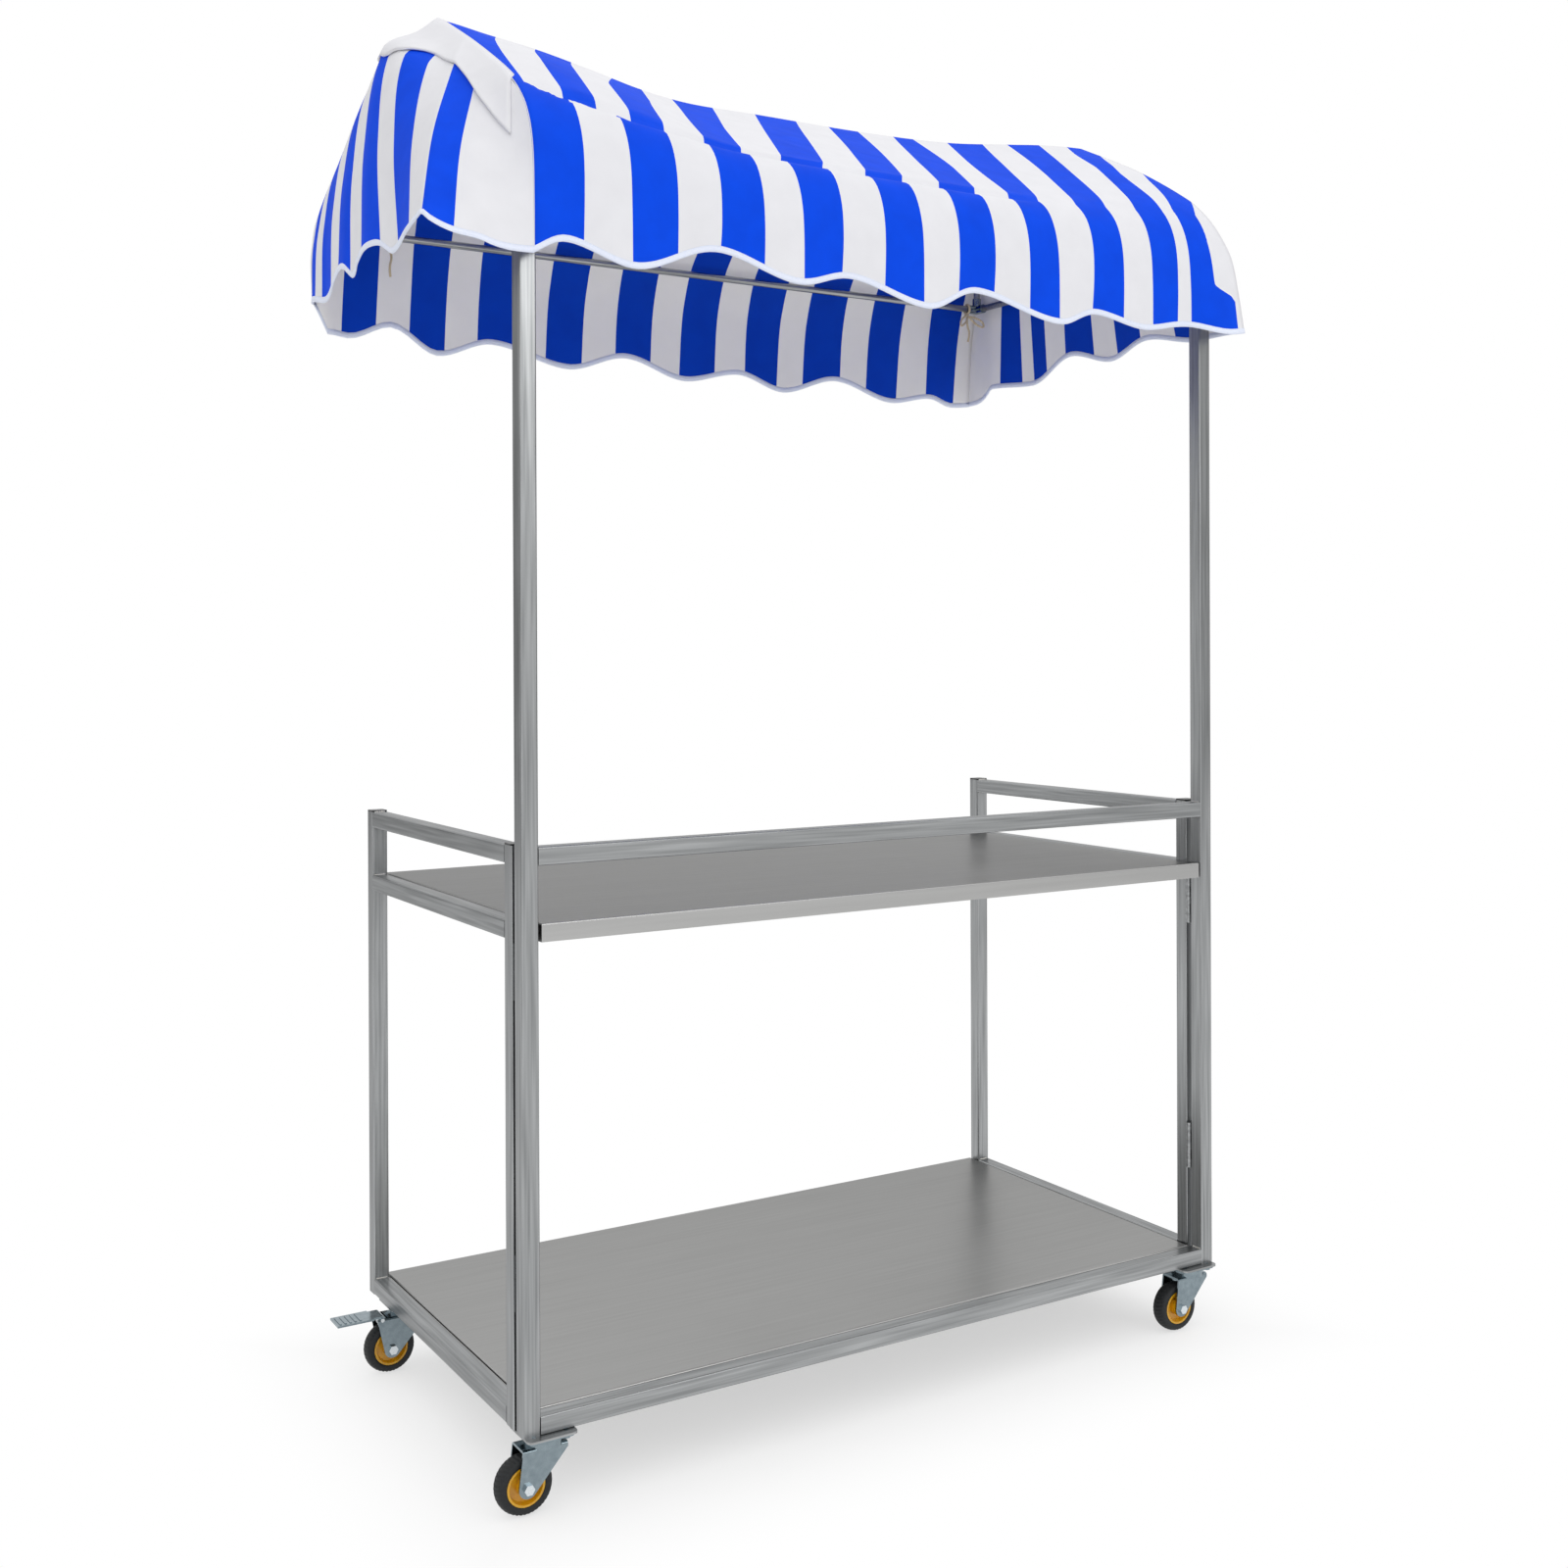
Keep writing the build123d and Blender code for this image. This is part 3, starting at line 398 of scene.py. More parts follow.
# %% Beads above and below each rail end
def mesh_piece(name, points, faces, finish, body, slot):
    """A smooth mesh that rides on a CAD body and takes the finish given. The slot is not used."""
    shape = bpy.data.meshes.new(name)
    shape.from_pydata(points, [], faces)
    shape.polygons.foreach_set("use_smooth", [True] * len(shape.polygons))
    shape.materials.append(finish)
    piece = bpy.data.objects.new(name, shape)
    scene.collection.objects.link(piece)
    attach(piece, body)
    return piece


# A brushed weld is a little warmer than the tube: its heat tint stays in patches about 8 mm across
weld_steel = mottled("brushed_weld_bead", {"Metallic": 1.0, "Roughness": 0.34}, 0.008, 2.0,
                     ("#BFC1C3", "#E2DDD2"))
bead_inset = 0.003
beads = []
for name in frame["nodes"]:
    if not name.endswith("_rail"):
        continue
    low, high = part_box(name)
    runs_across = high.x - low.x > high.y - low.y
    for z in (low.z, high.z):
        for corner in (low, high):
            if runs_across:
                ends = Vector((corner.x, low.y + bead_inset, z)), Vector((corner.x, high.y - bead_inset, z))
            else:
                ends = Vector((low.x + bead_inset, corner.y, z)), Vector((high.x - bead_inset, corner.y, z))
            beads.append(bead_rings(*ends))
mesh_piece("weld_beads", *tube_mesh(beads), weld_steel, "frame", "stainless_tube")
print("weld beads", len(beads))

# %% [markdown]
# ## Ribbed tyres
#
# The CAD tyre is a plain ring. The real one has a shallow tread of slanting blocks across its face, so each
# tyre is turned again as rings of points round its axle, with the tread pressed into the outer rows. It keeps
# the CAD ring's width and radius.

# %% Tyres with a pressed tread
tread_blocks, tyre_steps = 40, 200
groove_depth, groove_slant = 0.0018, 0.9
# Shares of the half width, of the radius and of the tread's depth for each row, from the bead to the crown
half_outline = [(0.9, 0.68, 0), (1, 0.72, 0), (1, 0.82, 0), (0.96, 0.885, 0), (0.84, 0.93, 0.4),
                (0.62, 0.965, 1), (0.34, 0.99, 1)]
crown = (0, 1, 1)
tyre_outline = [(-place, reach, tread) for place, reach, tread in half_outline] + [crown] + half_outline[::-1]


def tyre_mesh(low, high):
    """A tyre between two corners of its box: an outline carried round the axle, with a tread on the crown."""
    middle = (low + high) / 2
    radius, half = (high.z - low.z) / 2, (high.y - low.y) / 2
    points, faces = [], []
    for step, a in enumerate(angles(tyre_steps)):
        for place, reach, tread in tyre_outline:
            slanted = step / tyre_steps * tread_blocks + groove_slant * abs(place)
            groove = groove_depth * tread * max(0, math.cos(2 * math.pi * slanted)) ** 2
            r = radius * reach - groove
            points.append(middle + Vector((r * math.cos(a), half * place, r * math.sin(a))))
    count = len(tyre_outline)
    for step in range(tyre_steps):
        here, after = step * count, (step + 1) % tyre_steps * count
        for row in range(count):
            beside = (row + 1) % count
            faces.append((here + row, here + beside, after + beside, after + row))
    return points, faces


for corner in ("front_left", "front_right", "back_left", "back_right"):
    tyre = mesh_piece(f"{corner}_ribbed_tyre", *tyre_mesh(*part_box(f"{corner}_tyre")), rubber,
                      f"{corner}_wheel", "black_rubber")
    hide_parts(f"{corner}_tyre")
print("tyre faces", len(tyre.data.polygons))

# %% [markdown]
# ## The canopy cloth
#
# The canopy is a cover of coated Oxford cloth, woven in wide blue and white stripes. It hangs over two hoops
# and four rods: it sinks between the hoops, rolls over the front and back rods, and falls in a short skirt
# with a wavy hem. A simulation would settle in folds of its own, so the cloth is built from lines
# measured on the photograph: each column of points is a smooth curve from the hem, up over the rod, to the
# ridge. Lengths in these cells are in millimetres until the mesh is made.

# %% Curves through measured marks
def through(places, values, at):
    """A smooth curve that meets each value at its place; the values may be numbers or vectors."""
    last = len(places) - 1
    spot = 0
    while spot < last - 1 and at > places[spot + 1]:
        spot += 1
    at = min(max(at, places[0]), places[-1])
    span = places[spot + 1] - places[spot]
    share = (at - places[spot]) / span
    square, cube = share ** 2, share ** 3

    def slope(index):
        before, after = max(index - 1, 0), min(index + 1, last)
        return (values[after] - values[before]) / (places[after] - places[before])

    return (values[spot] * (2 * cube - 3 * square + 1) + slope(spot) * (span * (cube - 2 * square + share))
            + values[spot + 1] * (3 * square - 2 * cube) + slope(spot + 1) * (span * (cube - square)))


def ease(share):
    """0 before 0, 1 after 1, and smooth between."""
    share = min(max(share, 0), 1)
    return share * share * (3 - 2 * share)


def straight(marks, at):
    """The value at a place on straight lines between marks."""
    for (x0, v0), (x1, v1) in zip(marks, marks[1:]):
        if at <= x1:
            break
    return v0 + (v1 - v0) * (at - x0) / (x1 - x0)


def hem_wave(line, at):
    """Height of a scalloped hem and how low its wave is there, 0 on a crest and 1 in a dip."""
    for index, ((x0, z0), (x1, z1)) in enumerate(zip(line, line[1:])):
        if at <= x1:
            break
    share = ease((at - x0) / (x1 - x0))
    dip = share if index % 2 == 0 else 1 - share
    return z0 + (z1 - z0) * share, dip


print("half way up an eased step", ease(0.5))

# %% Ridge and hems
ridge_x = [-660, -612, -540, -458, -370, -284, -200, -79, 134, 312, 454, 529, 612, 660]
ridge_z = [2080, 2085, 2077, 2068, 2053, 2037, 2029, 2031, 2034, 2043, 2061, 2071, 2078, 2078]
# Crests and dips of the hems in turn
front_hem = [(-860, 1705), (-800, 1704), (-769, 1705), (-640, 1661), (-569, 1690), (-472, 1663), (-340, 1703),
             (-210, 1670), (-122, 1690), (14, 1658), (110, 1693), (268, 1659), (350, 1684), (444, 1667),
             (541, 1681), (610, 1672), (690, 1682)]
back_hem = [(-760, 1722), (-692, 1722), (-672, 1674), (-634, 1672), (-567, 1695), (-481, 1656), (-391, 1682),
            (-239, 1653), (-135, 1680), (-7, 1650), (98, 1669), (203, 1645), (314, 1674), (455, 1643),
            (539, 1656), (600, 1644), (690, 1652)]
print("ridge at the middle", round(through(ridge_x, ridge_z, 0)), "mm")

# %% [markdown]
# One column of the main cloth runs from the front hem to the ridge, or from the back hem to the ridge. Near a
# hoop the slope is held up; half way between, it sinks and rolls over the rod in a soft shoulder. The skirt
# hangs straight down from there, and the folds of its hem grow from nothing at the shoulder.

# %% Marks of one column
half_levels = [0, 0.13, 0.24, 0.31, 0.375, 0.46, 0.7, 1]
# Distance from the middle and height of each mark above the hem, between the hoops and on a hoop
sunk_marks = [(355, 1752), (350, 1803), (333, 1842), (304, 1868), (272, 1885), (150, 1952)]
held_marks = [(354, 1752), (353, 1810), (343, 1850), (322, 1885), (280, 1923), (150, 2003)]
# The part of the hem's swing along the cart that each mark takes, in front and behind, and of its folds
front_swings, back_swings = (0.85, 0.7, 0.35, 0.1, 0, 0), (1, 0.95, 0.75, 0.45, 0.2, 0)
fold_shares = (0.55, 0.2, 0.05, 0, 0, 0)
skirt_y, back_hem_y, hem_fold, front_hem_rise = 350, 374, 10, 5


def between(low, high, share):
    """The value at a share of the way from low to high."""
    return low + (high - low) * share


def cloth_column(x, way):
    """Marks from hem to ridge at x; way is -1 on the customer's side and 1 on the seller's."""
    crest = through(ridge_x, ridge_z, x)
    # How far the hoops hold the cloth up here, from 0 in the sag to 1 on a hoop
    held = min(max((crest - 2030) / 45, 0), 1) ** 1.3
    # The skirt flares out sideways at the right end, and at the left end of the back
    if way < 0:
        flare = 34 * ease((x - 540) / 80)
        hem_z, dip = hem_wave(front_hem, x + flare)
        hem_z += front_hem_rise
        hem_y = skirt_y + 24 * ease((x - 480) / 140)
    else:
        flare = 22 * ease((x - 540) / 80) - 75 * ease((-x - 440) / 177)
        hem_z, dip = hem_wave(back_hem, x + flare)
        hem_y = back_hem_y
    fold = hem_fold * dip
    marks = [Vector((x + flare, way * (hem_y + fold), hem_z))]
    swings = front_swings if way < 0 else back_swings
    for (y0, z0), (y1, z1), swing, share in zip(sunk_marks, held_marks, swings, fold_shares):
        out = share * (hem_y - skirt_y + 0.8 * fold)
        marks.append(Vector((x + swing * flare, way * (between(y0, y1, held) + out), between(z0, z1, held))))
    return marks + [Vector((x, 0, crest))]


print("front hem at the middle", round(cloth_column(0, -1)[0].z), "mm")

# %% Columns of the roof and skirts
roof_left, roof_right = -617, 619
columns, rows_up = 140, 62
roof_x = [between(roof_left, roof_right, step / columns) for step in range(columns + 1)]
levels = [row / rows_up for row in range(rows_up + 1)]
fronts = [[through(half_levels, cloth_column(x, -1), t) for t in levels] for x in roof_x]
backs = [[through(half_levels, cloth_column(x, 1), t) for t in levels] for x in roof_x]
print("roof columns", len(roof_x), "rows", 2 * rows_up + 1)

# %% Tuck along the front shoulder
# The tuck is strongest left of the middle, and climbs towards the left hoop
tuck_line = [(-617, 0.465), (-599, 0.45), (-588, 0.44), (-566, 0.426), (-545, 0.413), (-500, 0.4),
             (-453, 0.388), (-335, 0.385), (-231, 0.383), (-82, 0.373), (655, 0.373)]
tuck_depth, tuck_width, tuck_way = 7, 0.016, Vector((0, 0.45, -0.9))
for x, column in zip(roof_x, fronts):
    depth = tuck_depth * ease((x - roof_left) / 60) * ease((330 - x) / 200)
    for t, point in zip(levels, column):
        point += tuck_way * depth * math.exp(-((t - straight(tuck_line, x)) / tuck_width) ** 2)
print("tuck", tuck_depth, "mm deep")

# %% [markdown]
# The stripes are woven in, so each point carries its place across the stripes: whole numbers start a blue
# stripe and halves start a white one. The marks were read along the hem, under and over the tuck, and along
# the ridge. The cover sits a little askew, so the stripes lean on the roof, and the tuck hides most of one.

# %% Stripe marks along the hems, the tuck and the ridge
front_marks = [(-739, 5.5), (-615, 6), (-543, 6.5), (-475, 7), (-404, 7.5), (-335, 8), (-267, 8.5), (-204, 9),
               (-134, 9.5), (-61, 10), (6, 10.5), (75, 11), (144, 11.5), (210, 12), (267, 12.5), (343, 13),
               (404, 13.5), (465, 14), (522, 14.5), (545, 15), (655, 15.6)]
tuck_marks = [(-735, 5.5), (-622, 6), (-600, 6.5), (-549, 7), (-503, 7.5), (-453, 8), (-400, 8.5), (-334, 9),
              (-272, 9.5), (-206, 10), (-136, 10.5), (-61, 11), (6, 11.5), (75, 12), (144, 12.5), (210, 13),
              (267, 13.5), (343, 14), (404, 14.5), (465, 15), (522, 15.5), (545, 16), (594, 16.5),
              (655, 16.9)]
ridge_marks = [(-728, 5.5), (-604, 6), (-526, 6.5), (-463, 7), (-404, 7.5), (-335, 8), (-284, 8.5), (-231, 9),
               (-157, 9.5), (-78, 10), (1, 10.5), (65, 11), (124, 11.5), (197, 12), (238, 12.5), (312, 13),
               (390, 13.5), (445, 14), (519, 14.5), (585, 15), (650, 15.5)]
back_marks = [(-700, 4.6), (-648, 5), (-591, 5.5), (-534, 6), (-470, 6.5), (-414, 7), (-350, 7.5), (-286, 8),
              (-216, 8.5), (-154, 9), (-82, 9.5), (-21, 10), (51, 10.5), (113, 11), (188, 11.5), (243, 12),
              (326, 12.5), (389, 13), (464, 13.5), (530, 14), (605, 14.5), (660, 15)]
print("blue stripes on the front hem", int(front_marks[-1][1]) - int(front_marks[0][1]))

# %% A mark for each point of the roof
def below_tuck(x, t):
    """Mark on the skirt; the last blue stripe is narrower above the flap at the right corner."""
    return straight(front_marks, x) + 0.25 * ease((t - 0.1) / 0.05) * ease((x - 560) / 40)


def above_tuck(x, t):
    """Mark on the front slope; on the left the stripes run straight up from the tuck before they lean."""
    low = straight(tuck_line, x)
    share = (max(t - low, 0) / (1 - low)) ** between(1.25, 1, ease((x + 330) / 200))
    return between(straight(tuck_marks, x), straight(ridge_marks, x), share)


def back_stripe(x, t):
    """Mark on the back: straight down the skirt, leaning on the slope and straight again over the ridge."""
    lean = through([0, 0.3, 0.42, 0.82, 0.93, 1], [0, 0, 0.12, 0.86, 0.985, 1], t)
    return between(straight(back_marks, x), straight(ridge_marks, x), lean)


# Each point has a mark for below the tuck, one for above it, and how far above the tuck line it is
roof_points, roof_marks = [], []
for front, back in zip(fronts, backs):
    roof_points.append(front + back[-2::-1])
    seller = [back_stripe(spot.x, t) for spot, t in zip(back[-2::-1], levels[-2::-1])]
    roof_marks.append([(below_tuck(spot.x, t), above_tuck(spot.x, t), t - straight(tuck_line, spot.x))
                       for spot, t in zip(front, levels)] + [(mark, mark, 1) for mark in seller])
print("pairs of stripes on the front", round(roof_marks[-1][0][0] - roof_marks[0][0][0], 1))

# %% [markdown]
# The end panels hang from the hoops. The left one is puffed out past the frame and is carried forward round
# the front corner, so its hem is longer than the hoop above it and its stripes fan out from the peak. The
# right one hangs almost straight. Each column runs from the hem up to its own place on the hoop, and the two
# outer columns of each panel meet the edge of the main cloth.

# %% Hem of the left panel
# Marks along the left hem from the front corner to the back one, with three folds in it
left_hem = [Vector(spot) for spot in (
    (-774, -372, 1702), (-761, -280, 1698), (-748, -184, 1690), (-753, -140, 1709), (-759, -101, 1710),
    (-753, -45, 1702), (-746, -2, 1690), (-750, 34, 1709), (-745, 85, 1707), (-728, 187, 1690),
    (-728, 256, 1701), (-716, 310, 1708), (-693, 384, 1722))]
# From the corner forward, the hem drops steeply under the tip
corner_hem = [(-774, 1702), (-764, 1695), (-746, 1687), (-728, 1682), (-696, 1678), (-664, 1670),
              (-617, 1672)]
front_left, back_left, front_end = left_hem[0].xy, left_hem[-1].xy, Vector((-617, -353))
left_side, left_front = (front_left - back_left).length, (front_end - front_left).length
left_total = left_side + left_front
# Where each place on the hem hangs from the hoop, and its stripe mark
left_tops = [(0, 312), (120, 240), (300, 120), (470, 6), (606, -50), (700, -84), (765, -120), (815, -205),
             (870, -268), (905, -295), (930, -312)]
left_marks = [(-30, -0.6), (90, 0), (137, 0.5), (170, 1), (240, 1.5), (325, 2), (378, 2.5), (465, 3),
              (533, 3.5), (607, 4), (682, 4.5), (760, 5), (802, 5.5), (918, 6)]


def left_hem_point(q):
    """Place of the left panel's hem, q millimetres from the back corner."""
    if q < left_side:
        y = between(back_left.y, front_left.y, q / left_side)
        return through([spot.y for spot in left_hem], left_hem, y)
    share = (q - left_side) / left_front
    spot = front_left.lerp(front_end, share)
    height = through([x for x, z in corner_hem], [z for x, z in corner_hem], spot.x)
    return Vector((spot.x, spot.y - 9 * ease(2 * share), height))


print("left panel hem", round(left_total), "mm round")

# %% Columns of the left panel
def edge_at(front, back, y):
    """The point of the main cloth's edge that lies y from the middle, on its front or its back column."""
    column = front if y < 0 else back
    for low, high in zip(column[::-1], column[-2::-1]):
        if abs(low.y) <= abs(y) <= abs(high.y):
            return low.lerp(high, (abs(y) - abs(low.y)) / max(abs(high.y) - abs(low.y), 0.001))
    return column[0]


left_levels, left_hoop_x = [0, 0.12, 0.26, 0.63, 1], -613


def left_column(q, top_y):
    """The left panel's marks from hoop to hem, puffed out at the peak and back, straighter at the corner."""
    hem = left_hem_point(q)
    top = edge_at(fronts[0], backs[0], top_y)
    wide = ease((470 - q) / 200)
    # How far the puffed cloth stands out from the hoop, the share of its way to the hem, and its drop
    puffed = [Vector((-37, 0.08, -29)), Vector((-92 + 5 * wide, 0.25 - 0.08 * wide, -66 + 8 * wide))]
    corner = ease((q - 560) / 230)
    marks = [top]
    for drop, push in zip(left_levels[1:3], puffed):
        full = Vector((left_hoop_x + push.x, between(top.y, hem.y, push.y), top.z + push.z))
        plain = top.lerp(hem, drop) + Vector((-9, -7, 9)) * (1.6 * drop + 0.3)
        marks.append(full.lerp(plain, corner))
    middle = marks[-1].lerp(hem, 0.5) + Vector((-11 + 4 * corner, -5 * corner, 6))
    return marks + [middle, hem]


def edge_point(column, up):
    """The edge of the main cloth, from its hem to the shoulder over the rod."""
    return through(levels, column, 0.4 * up)


def left_panel_point(q, up):
    """A point of the left panel, q millimetres from its back corner; its sides join the main cloth."""
    point = through(left_levels, left_column(q, straight(left_tops, q)), 1 - up)
    point = point.lerp(edge_point(backs[0], up), ease((50 - q) / 50))
    return point.lerp(edge_point(fronts[0], up), ease((q - left_total + 70) / 70))


print("middle of the left panel", [round(v) for v in left_panel_point(left_side / 2, 0.5)])

# %% Left end panel
panel_rows, left_columns = 44, 112
ups = [row / panel_rows for row in range(panel_rows + 1)]
left_points, left_stripes = [], []
for step in range(left_columns + 1):
    q = left_total * step / left_columns
    left_points.append([left_panel_point(q, up) for up in ups])
    left_stripes.append([(straight(left_marks, q), straight(left_marks, q), 1)] * len(ups))
print("left panel columns", len(left_points))

# %% Right end panel
right_hem = [(-430, 1680), (-400, 1681), (-372, 1686), (-255, 1688), (-145, 1706), (-35, 1684), (60, 1706),
             (190, 1668), (300, 1674), (350, 1652), (430, 1658)]
right_marks = [(-374, 15.6), (-260, 16), (-211, 16.5), (-127, 17), (-56, 17.5), (4, 18), (78, 18.5),
               (142, 19), (184, 19.5), (217, 20), (277, 20.5), (380, 20.95)]
right_levels, right_columns = [0, 0.07, 0.42, 1], 88
# The outer columns of the panel join the main cloth over this share of its width
join = 0.08
right_points, right_stripes = [], []
start, end = fronts[-1][0], backs[-1][0]
for step in range(right_columns + 1):
    share = step / right_columns
    y = between(start.y, end.y, share)
    height, dip = hem_wave(right_hem, y)
    hem = Vector((between(start.x, end.x, share) + 12 * dip, y, height))
    top = edge_at(fronts[-1], backs[-1], between(-312, 312, share))
    marks = [top, Vector((624, between(top.y, hem.y, 0.1), top.z - 14)),
             Vector((630, between(top.y, hem.y, 0.5), between(top.z, hem.z, 0.4))), hem]
    to_front, to_back = ease((join - share) / join), ease((share - (1 - join)) / join)
    column = []
    for up in ups:
        point = through(right_levels, marks, 1 - up).lerp(edge_point(fronts[-1], up), to_front)
        column.append(point.lerp(edge_point(backs[-1], up), to_back))
    right_points.append(column)
    right_stripes.append([(straight(right_marks, y), straight(right_marks, y), 1)] * len(ups))
print("right panel hem", round((end - start).length), "mm")

# %% [markdown]
# Oxford cloth is a basket weave of polyester with a thin coating on its back. It takes a flat, strong colour
# and a low sheen, and it creases softly. The threads are about 0.6 mm apart; they are drawn at 3 mm. The
# stripes read the marks that the mesh carries, so they follow every fold.

# %% Striped Oxford cloth
def striped_cloth(name, blues, whites):
    """Oxford cloth seen from one side: its two tones of blue and of white, from the marks on the mesh."""
    finish, tree, shader = start_finish(name, {"Roughness": 0.75, "IOR": 1.46, "Specular IOR Level": 0.12})
    maps = [add_node(tree, "ShaderNodeUVMap", uv_map=marks) for marks in ("below_tuck", "above_tuck")]
    low, high = [add_node(tree, "ShaderNodeSeparateXYZ", {"Vector": node.outputs["UV"]}) for node in maps]
    above = add_node(tree, "ShaderNodeMath", {0: low.outputs["Y"], 1: 0.0}, operation="GREATER_THAN")
    mark = add_node(tree, "ShaderNodeMix", {0: above.outputs["Value"], 2: low.outputs["X"],
                                            3: high.outputs["X"]})
    inside = add_node(tree, "ShaderNodeMath", {0: mark.outputs[0]}, operation="FRACT")
    white = add_node(tree, "ShaderNodeMath", {0: inside.outputs["Value"], 1: 0.5}, operation="GREATER_THAN")
    place = add_node(tree, "ShaderNodeTexCoord")
    # Uneven dye in soft patches 40 mm across, threads, and soft creases about 90 mm apart
    dye, weave, crease = [add_node(tree, "ShaderNodeTexNoise", {"Vector": place.outputs["Object"],
                                                                "Scale": 1 / size, "Detail": detail})
                          for size, detail in ((0.04, 3.0), (0.003, 1.0), (0.09, 2.0))]
    blue, pale = [add_node(tree, "ShaderNodeMix", {0: dye.outputs["Fac"], 6: to_linear(first),
                                                   7: to_linear(second)}, data_type="RGBA")
                  for first, second in (blues, whites)]
    stripe = add_node(tree, "ShaderNodeMix", {0: white.outputs["Value"], 6: blue.outputs[2],
                                              7: pale.outputs[2]}, data_type="RGBA")
    threads = add_node(tree, "ShaderNodeBump", {"Height": weave.outputs["Fac"], "Strength": 0.08,
                                                "Distance": 0.0004})
    soft = add_node(tree, "ShaderNodeBump", {"Height": crease.outputs["Fac"], "Strength": 0.35,
                                             "Distance": 0.008, "Normal": threads.outputs["Normal"]})
    feed(tree, shader, {"Base Color": stripe.outputs[2], "Normal": soft.outputs["Normal"]})
    return finish


cloth = striped_cloth("striped_oxford_cloth_face", ("#0044DA", "#004FF2"), ("#E3E3E7", "#ECECF0"))
# The back's white is paler than the face's: painted light on the shaded inside of the canopy. Its blue is
# darker than the face's.
cloth_back_painted_light = striped_cloth("striped_oxford_cloth_back_painted_light", ("#003AB4", "#0042C4"), ("#F2F0EE", "#F9F7F5"))
print(cloth.name, cloth_back_painted_light.name)

# %% [markdown]
# The roof and the two panels are grids of points, so they are sewn into one mesh by giving each grid its
# faces. UV maps take numbers from a mesh to a shader, and here they hold the stripe marks. There are two,
# because a stripe jumps at the tuck, and the shader changes from one to the other exactly on the tuck line.

# %% Sew the cloth into one mesh
def grid_faces(first, wide, tall):
    """Faces of a grid whose points run up each column in turn, from point number first."""
    corners = [first + c * tall + r for c in range(wide - 1) for r in range(tall - 1)]
    return [(corner, corner + tall, corner + tall + 1, corner + 1) for corner in corners]


def carry_marks(piece, marks):
    """Two UV maps hold the mark below the tuck and the one above, each with the height over the tuck."""
    low_map = piece.data.uv_layers.new(name="below_tuck")
    high_map = piece.data.uv_layers.new(name="above_tuck")
    for corner in piece.data.loops:
        below, above, over = marks[corner.vertex_index]
        low_map.data[corner.index].uv = (below, over)
        high_map.data[corner.index].uv = (above, over)


cloth_points, cloth_faces, cloth_marks = [], [], []
for grid, stripes in ((roof_points, roof_marks), (left_points, left_stripes), (right_points, right_stripes)):
    cloth_faces += grid_faces(len(cloth_points), len(grid), len(grid[0]))
    for column, marks_up in zip(grid, stripes):
        cloth_points += [point / 1000 for point in column]
        cloth_marks += marks_up
canopy = mesh_piece("canopy_sheet", cloth_points, cloth_faces, cloth, "canopy", "striped_cloth")
carry_marks(canopy, cloth_marks)
canopy.data.materials.append(cloth_back_painted_light)
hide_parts("canopy_cloth")

# %% [markdown]
# The roof cloth is cut a little wider than the hoops and its edge is folded back over the left hoop. The fold
# lies on the end panel as a white band and ends in a loose corner at the front. It is made as a strip that
# starts on the roof, rolls over the hoop and follows the panel's own columns down for the width measured
# there, lifted by the thickness of doubled cloth.

# %% Folded edge over the left hoop
def walk(line, distance):
    """The point a distance along a line of points."""
    for low, high in zip(line, line[1:]):
        gap = (high - low).length
        if distance <= gap:
            return low.lerp(high, distance / gap)
        distance -= gap
    return line[-1]


# Distance along the panel's hem and width of the fold there
fold_at = [330, 394, 426, 459, 492, 525, 558, 590, 623, 656, 689, 722, 787, 820, 874]
fold_wide = [8, 62, 98, 118, 129, 128, 120, 110, 94, 84, 83, 88, 91, 100, 101]
stations, fold_rows = 90, 14
# The panel is followed down in fortieths of its height, as far as the widest fold needs
panel_drops = [drop / 40 for drop in range(26)]
strips = []
for step in range(stations + 1):
    q = between(fold_at[0], fold_at[-1], step / stations)
    on_roof = [edge_at(fronts[1], backs[1], straight(left_tops, q))]
    panel_line = [left_panel_point(q, 1 - drop) for drop in panel_drops]
    width = through(fold_at, fold_wide, q)
    strips.append(on_roof + [walk(panel_line, width * row / fold_rows) for row in range(fold_rows + 1)])
fold_points = []
for step, strip in enumerate(strips):
    before, after = strips[max(step - 1, 0)], strips[min(step + 1, stations)]
    for row, point in enumerate(strip):
        down = strip[min(row + 1, len(strip) - 1)] - strip[max(row - 1, 0)]
        facing = down.cross(after[row] - before[row]).normalized()
        # The doubled cloth lies 2.4 mm out, and its free edge lifts and ripples
        loose = max(row - 4, 0) / (len(strip) - 5)
        lift = min(0.6 + 1.4 * row, 2.4) + loose * loose * (0.9 + 0.8 * math.sin(step / 5.5))
        fold_points.append((point + facing * lift) / 1000)
fold_faces = grid_faces(0, stations + 1, len(strips[0]))
band = mesh_piece("left_hoop_fold", fold_points, fold_faces, cloth, "canopy", "striped_cloth")
# A mark in the middle of a white stripe makes the whole band white
carry_marks(band, [(0.75, 0.75, 1)] * len(fold_points))
print("fold", len(fold_faces), "faces")

# %% [markdown]
# The raw edge of the skirt is bound with a pale woven tape, folded over it and sewn. The tape is a thin tube
# that follows the hem all the way round: the last few millimetres of each column give its direction.

# %% Hem tape
# Polyester tape has a faint sheen on its ribs, which are drawn at 2 mm
tape = mottled("woven_polyester_binding_tape", {"Roughness": 0.7, "IOR": 1.5, "Sheen Weight": 0.1},
               0.002, 1.0, ("#DDE5FA", "#F0F4FF"))

